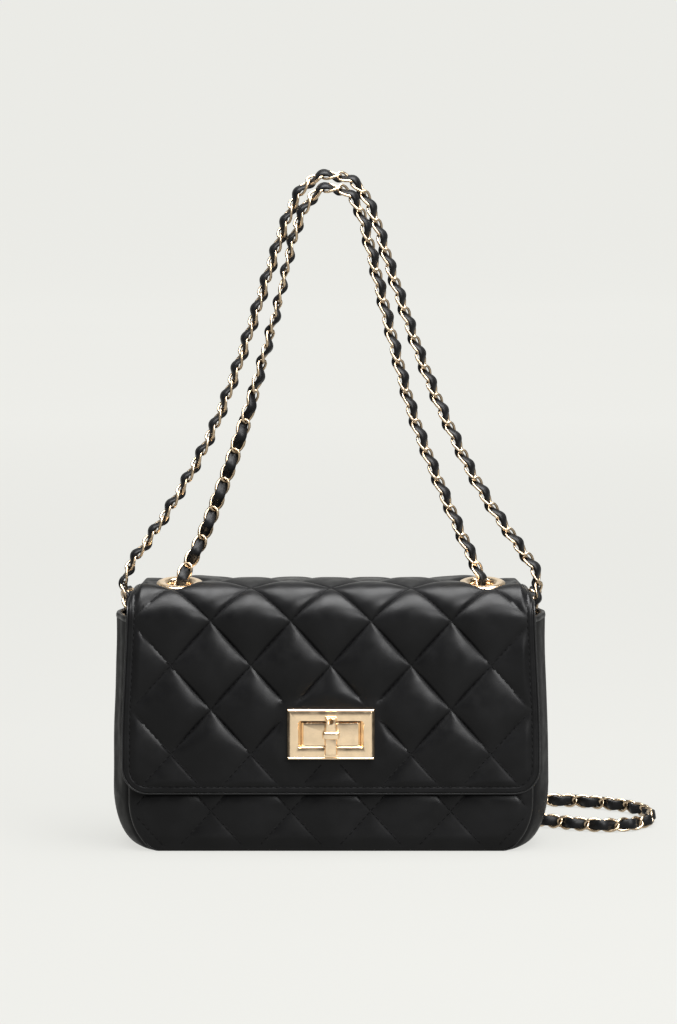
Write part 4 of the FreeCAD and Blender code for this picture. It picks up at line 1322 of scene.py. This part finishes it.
class BAG_OT_fittings(bpy.types.Operator):
    """Make the eyelets, the lock, the rings and their tabs, and finish the nodes left as packed"""
    bl_idname = "bag.fittings"
    bl_label = "Fittings"

    def execute(self, context):
        for row in frame["record"]["subparts"]:
            if row["material_slot"] in NODE_FINISHES:
                paint(frame["nodes"][row["node"]].data, NODE_FINISHES[row["material_slot"]])
        for word, side in SIDES:
            ring = dress(eyelet_ring(word, side), "body", "gold_fittings", "gold_plate")
            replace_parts(ring, "eyelet_" + word)
            wire = dress(gusset_ring(word), "body", "gold_fittings", "gold_plate")
            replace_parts(wire, "gusset_ring_" + word)
            tab = dress(ring_tab(word, side), "body", "quilted_leather", "black_calf")
            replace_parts(tab, "ring_tab_" + word)
        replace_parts(dress(lock_face(), "flap", "gold_fittings", "gold_plate"), "lock_plate")
        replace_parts(dress(lock_boss(), "flap", "gold_fittings", "gold_plate"), "lock_island")
        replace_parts(dress(lock_bar(), "turn_bar", "gold_fittings", "gold_plate"), "turn_bar")
        return {"FINISHED"}


# Studio, in metres
FLOOR_HALF, FLOOR_FRONT, FLOOR_BACK, FLOOR_BEND, BACKDROP_TOP = 6.0, -5.0, 4.6, 0.9, 6.0


def area_light(name, place, aim, size, watts):
    data = bpy.data.lights.new(name, "AREA")
    data.shape = "RECTANGLE"
    data.size, data.size_y = size
    data.energy = watts
    lamp = bpy.data.objects.new(name, data)
    bpy.context.collection.objects.link(lamp)
    lamp.location = place
    lamp.rotation_euler = (Vector(aim) - Vector(place)).to_track_quat("-Z", "Y").to_euler()


def floor_finish():
    """Pale floor that glows, a little more towards the back and less at the sides."""
    colour = bpy.context.scene.bag_colours.floor
    n = Nodes("pale_floor")
    mottle = n.texture("Noise", 3, 2)
    n.surface(mottle, colour, (0.039, 0.041), mottle, (0.88, 0.94))
    parts = n.add("SeparateXYZ")
    n.feed(parts.inputs["Vector"], n.place)
    x, y = parts.outputs["X"], parts.outputs["Y"]
    glow = n.remap(y, -0.1, 2.6, 0.835, 1.015)
    beside = n.math("MULTIPLY_ADD", y, -0.07, n.math("ABSOLUTE", x))
    fade = n.remap(beside, 0.28, 0.95, 1.0, 0.5)
    n.set(Emission_Strength=n.math("MULTIPLY", glow, fade), Emission_Color=(*colour, 1),
          Specular_IOR_Level=0.1)
    return n.material


def studio_floor():
    """Pale floor that runs up into a backdrop a long way behind the bag."""
    deselect()
    bpy.ops.mesh.primitive_plane_add(size=1)
    floor = named("studio_floor")
    bm = bmesh.new()
    profile = [(FLOOR_FRONT, 0.0)]
    profile += [(FLOOR_BACK + FLOOR_BEND * math.sin(a), FLOOR_BEND - FLOOR_BEND * math.cos(a))
                for a in (QUARTER * k / 12 for k in range(13))]
    profile += [(FLOOR_BACK + FLOOR_BEND, BACKDROP_TOP)]
    rows = [[bm.verts.new((x, y, z)) for x in (-FLOOR_HALF, FLOOR_HALF)] for y, z in profile]
    for low, high in zip(rows, rows[1:]):
        bm.faces.new((low[0], low[1], high[1], high[0]))
    bm.to_mesh(floor.data)
    bm.free()
    smooth(floor, 60)
    floor.data.materials.clear()
    floor.data.materials.append(floor_finish())


def photo_camera():
    """Camera at the photograph's angle, for an upright image of 677 by 1024."""
    tilt, distance, aim = math.radians(6.0), 2.6, Vector((0.004, 0.0, 0.17723))
    data = bpy.data.cameras.new("photo_camera")
    data.sensor_fit = "VERTICAL"
    data.sensor_height = 36.0
    data.lens = 171.8
    data.clip_end = 50.0
    camera = bpy.data.objects.new("photo_camera", data)
    bpy.context.collection.objects.link(camera)
    camera.location = aim + Vector((0, -math.cos(tilt), math.sin(tilt))) * distance
    camera.rotation_euler = (QUARTER - tilt, 0, 0)
    bpy.context.scene.camera = camera


class BAG_OT_stage(bpy.types.Operator):
    """Make the floor, the soft studio light and the camera"""
    bl_idname = "bag.stage"
    bl_label = "Studio"

    def execute(self, context):
        studio_floor()
        photo_camera()
        middle = (0, 0, 0.1)
        area_light("key_softbox", (0.95, -1.35, 0.95), middle, (0.8, 0.8), 44)
        area_light("top_softbox", (0.1, -0.35, 1.55), middle, (1.7, 1.3), 145)
        area_light("left_card", (-1.6, -1.2, 0.7), middle, (0.8, 1.0), 2)
        world = bpy.data.worlds.new("studio_air")
        world.use_nodes = True
        air = world.node_tree.nodes["Background"]
        air.inputs["Color"].default_value = (1, 0.995, 0.98, 1)
        air.inputs["Strength"].default_value = 0.1
        context.scene.world = world
        context.scene.view_settings.view_transform = "Standard"
        return {"FINISHED"}


class BAG_PT_panel(bpy.types.Panel):
    """Steps and sizes of the bag"""
    bl_idname = "BAG_PT_panel"
    bl_label = "Quilted bag"
    bl_space_type = "VIEW_3D"
    bl_region_type = "UI"
    bl_category = "Bag"

    def draw(self, context):
        for group in (context.scene.bag_quilt, context.scene.bag_strap, context.scene.bag_colours):
            box = self.layout.box()
            for name in group.__annotations__:
                box.prop(group, name)
        for step in STEPS:
            self.layout.operator(step.bl_idname)


GROUPS = (("bag_quilt", BagQuilt), ("bag_strap", BagStrap), ("bag_colours", BagColours))
STEPS = (BAG_OT_straps, BAG_OT_flap, BAG_OT_walls, BAG_OT_gussets, BAG_OT_lining,
         BAG_OT_fittings, BAG_OT_stage)
CLASSES = (BagQuilt, BagStrap, BagColours, *STEPS, BAG_PT_panel)


def register():
    for each in CLASSES:
        bpy.utils.register_class(each)
    for name, group in GROUPS:
        setattr(bpy.types.Scene, name, PointerProperty(type=group))


def unregister():
    for name, group in GROUPS:
        delattr(bpy.types.Scene, name)
    for each in reversed(CLASSES):
        bpy.utils.unregister_class(each)


def main():
    register()
    bpy.ops.bag.straps()
    bpy.ops.bag.flap()
    bpy.ops.bag.walls()
    bpy.ops.bag.gussets()
    bpy.ops.bag.lining()
    bpy.ops.bag.fittings()
    bpy.ops.bag.stage()


if __name__ == "__main__":
    main()
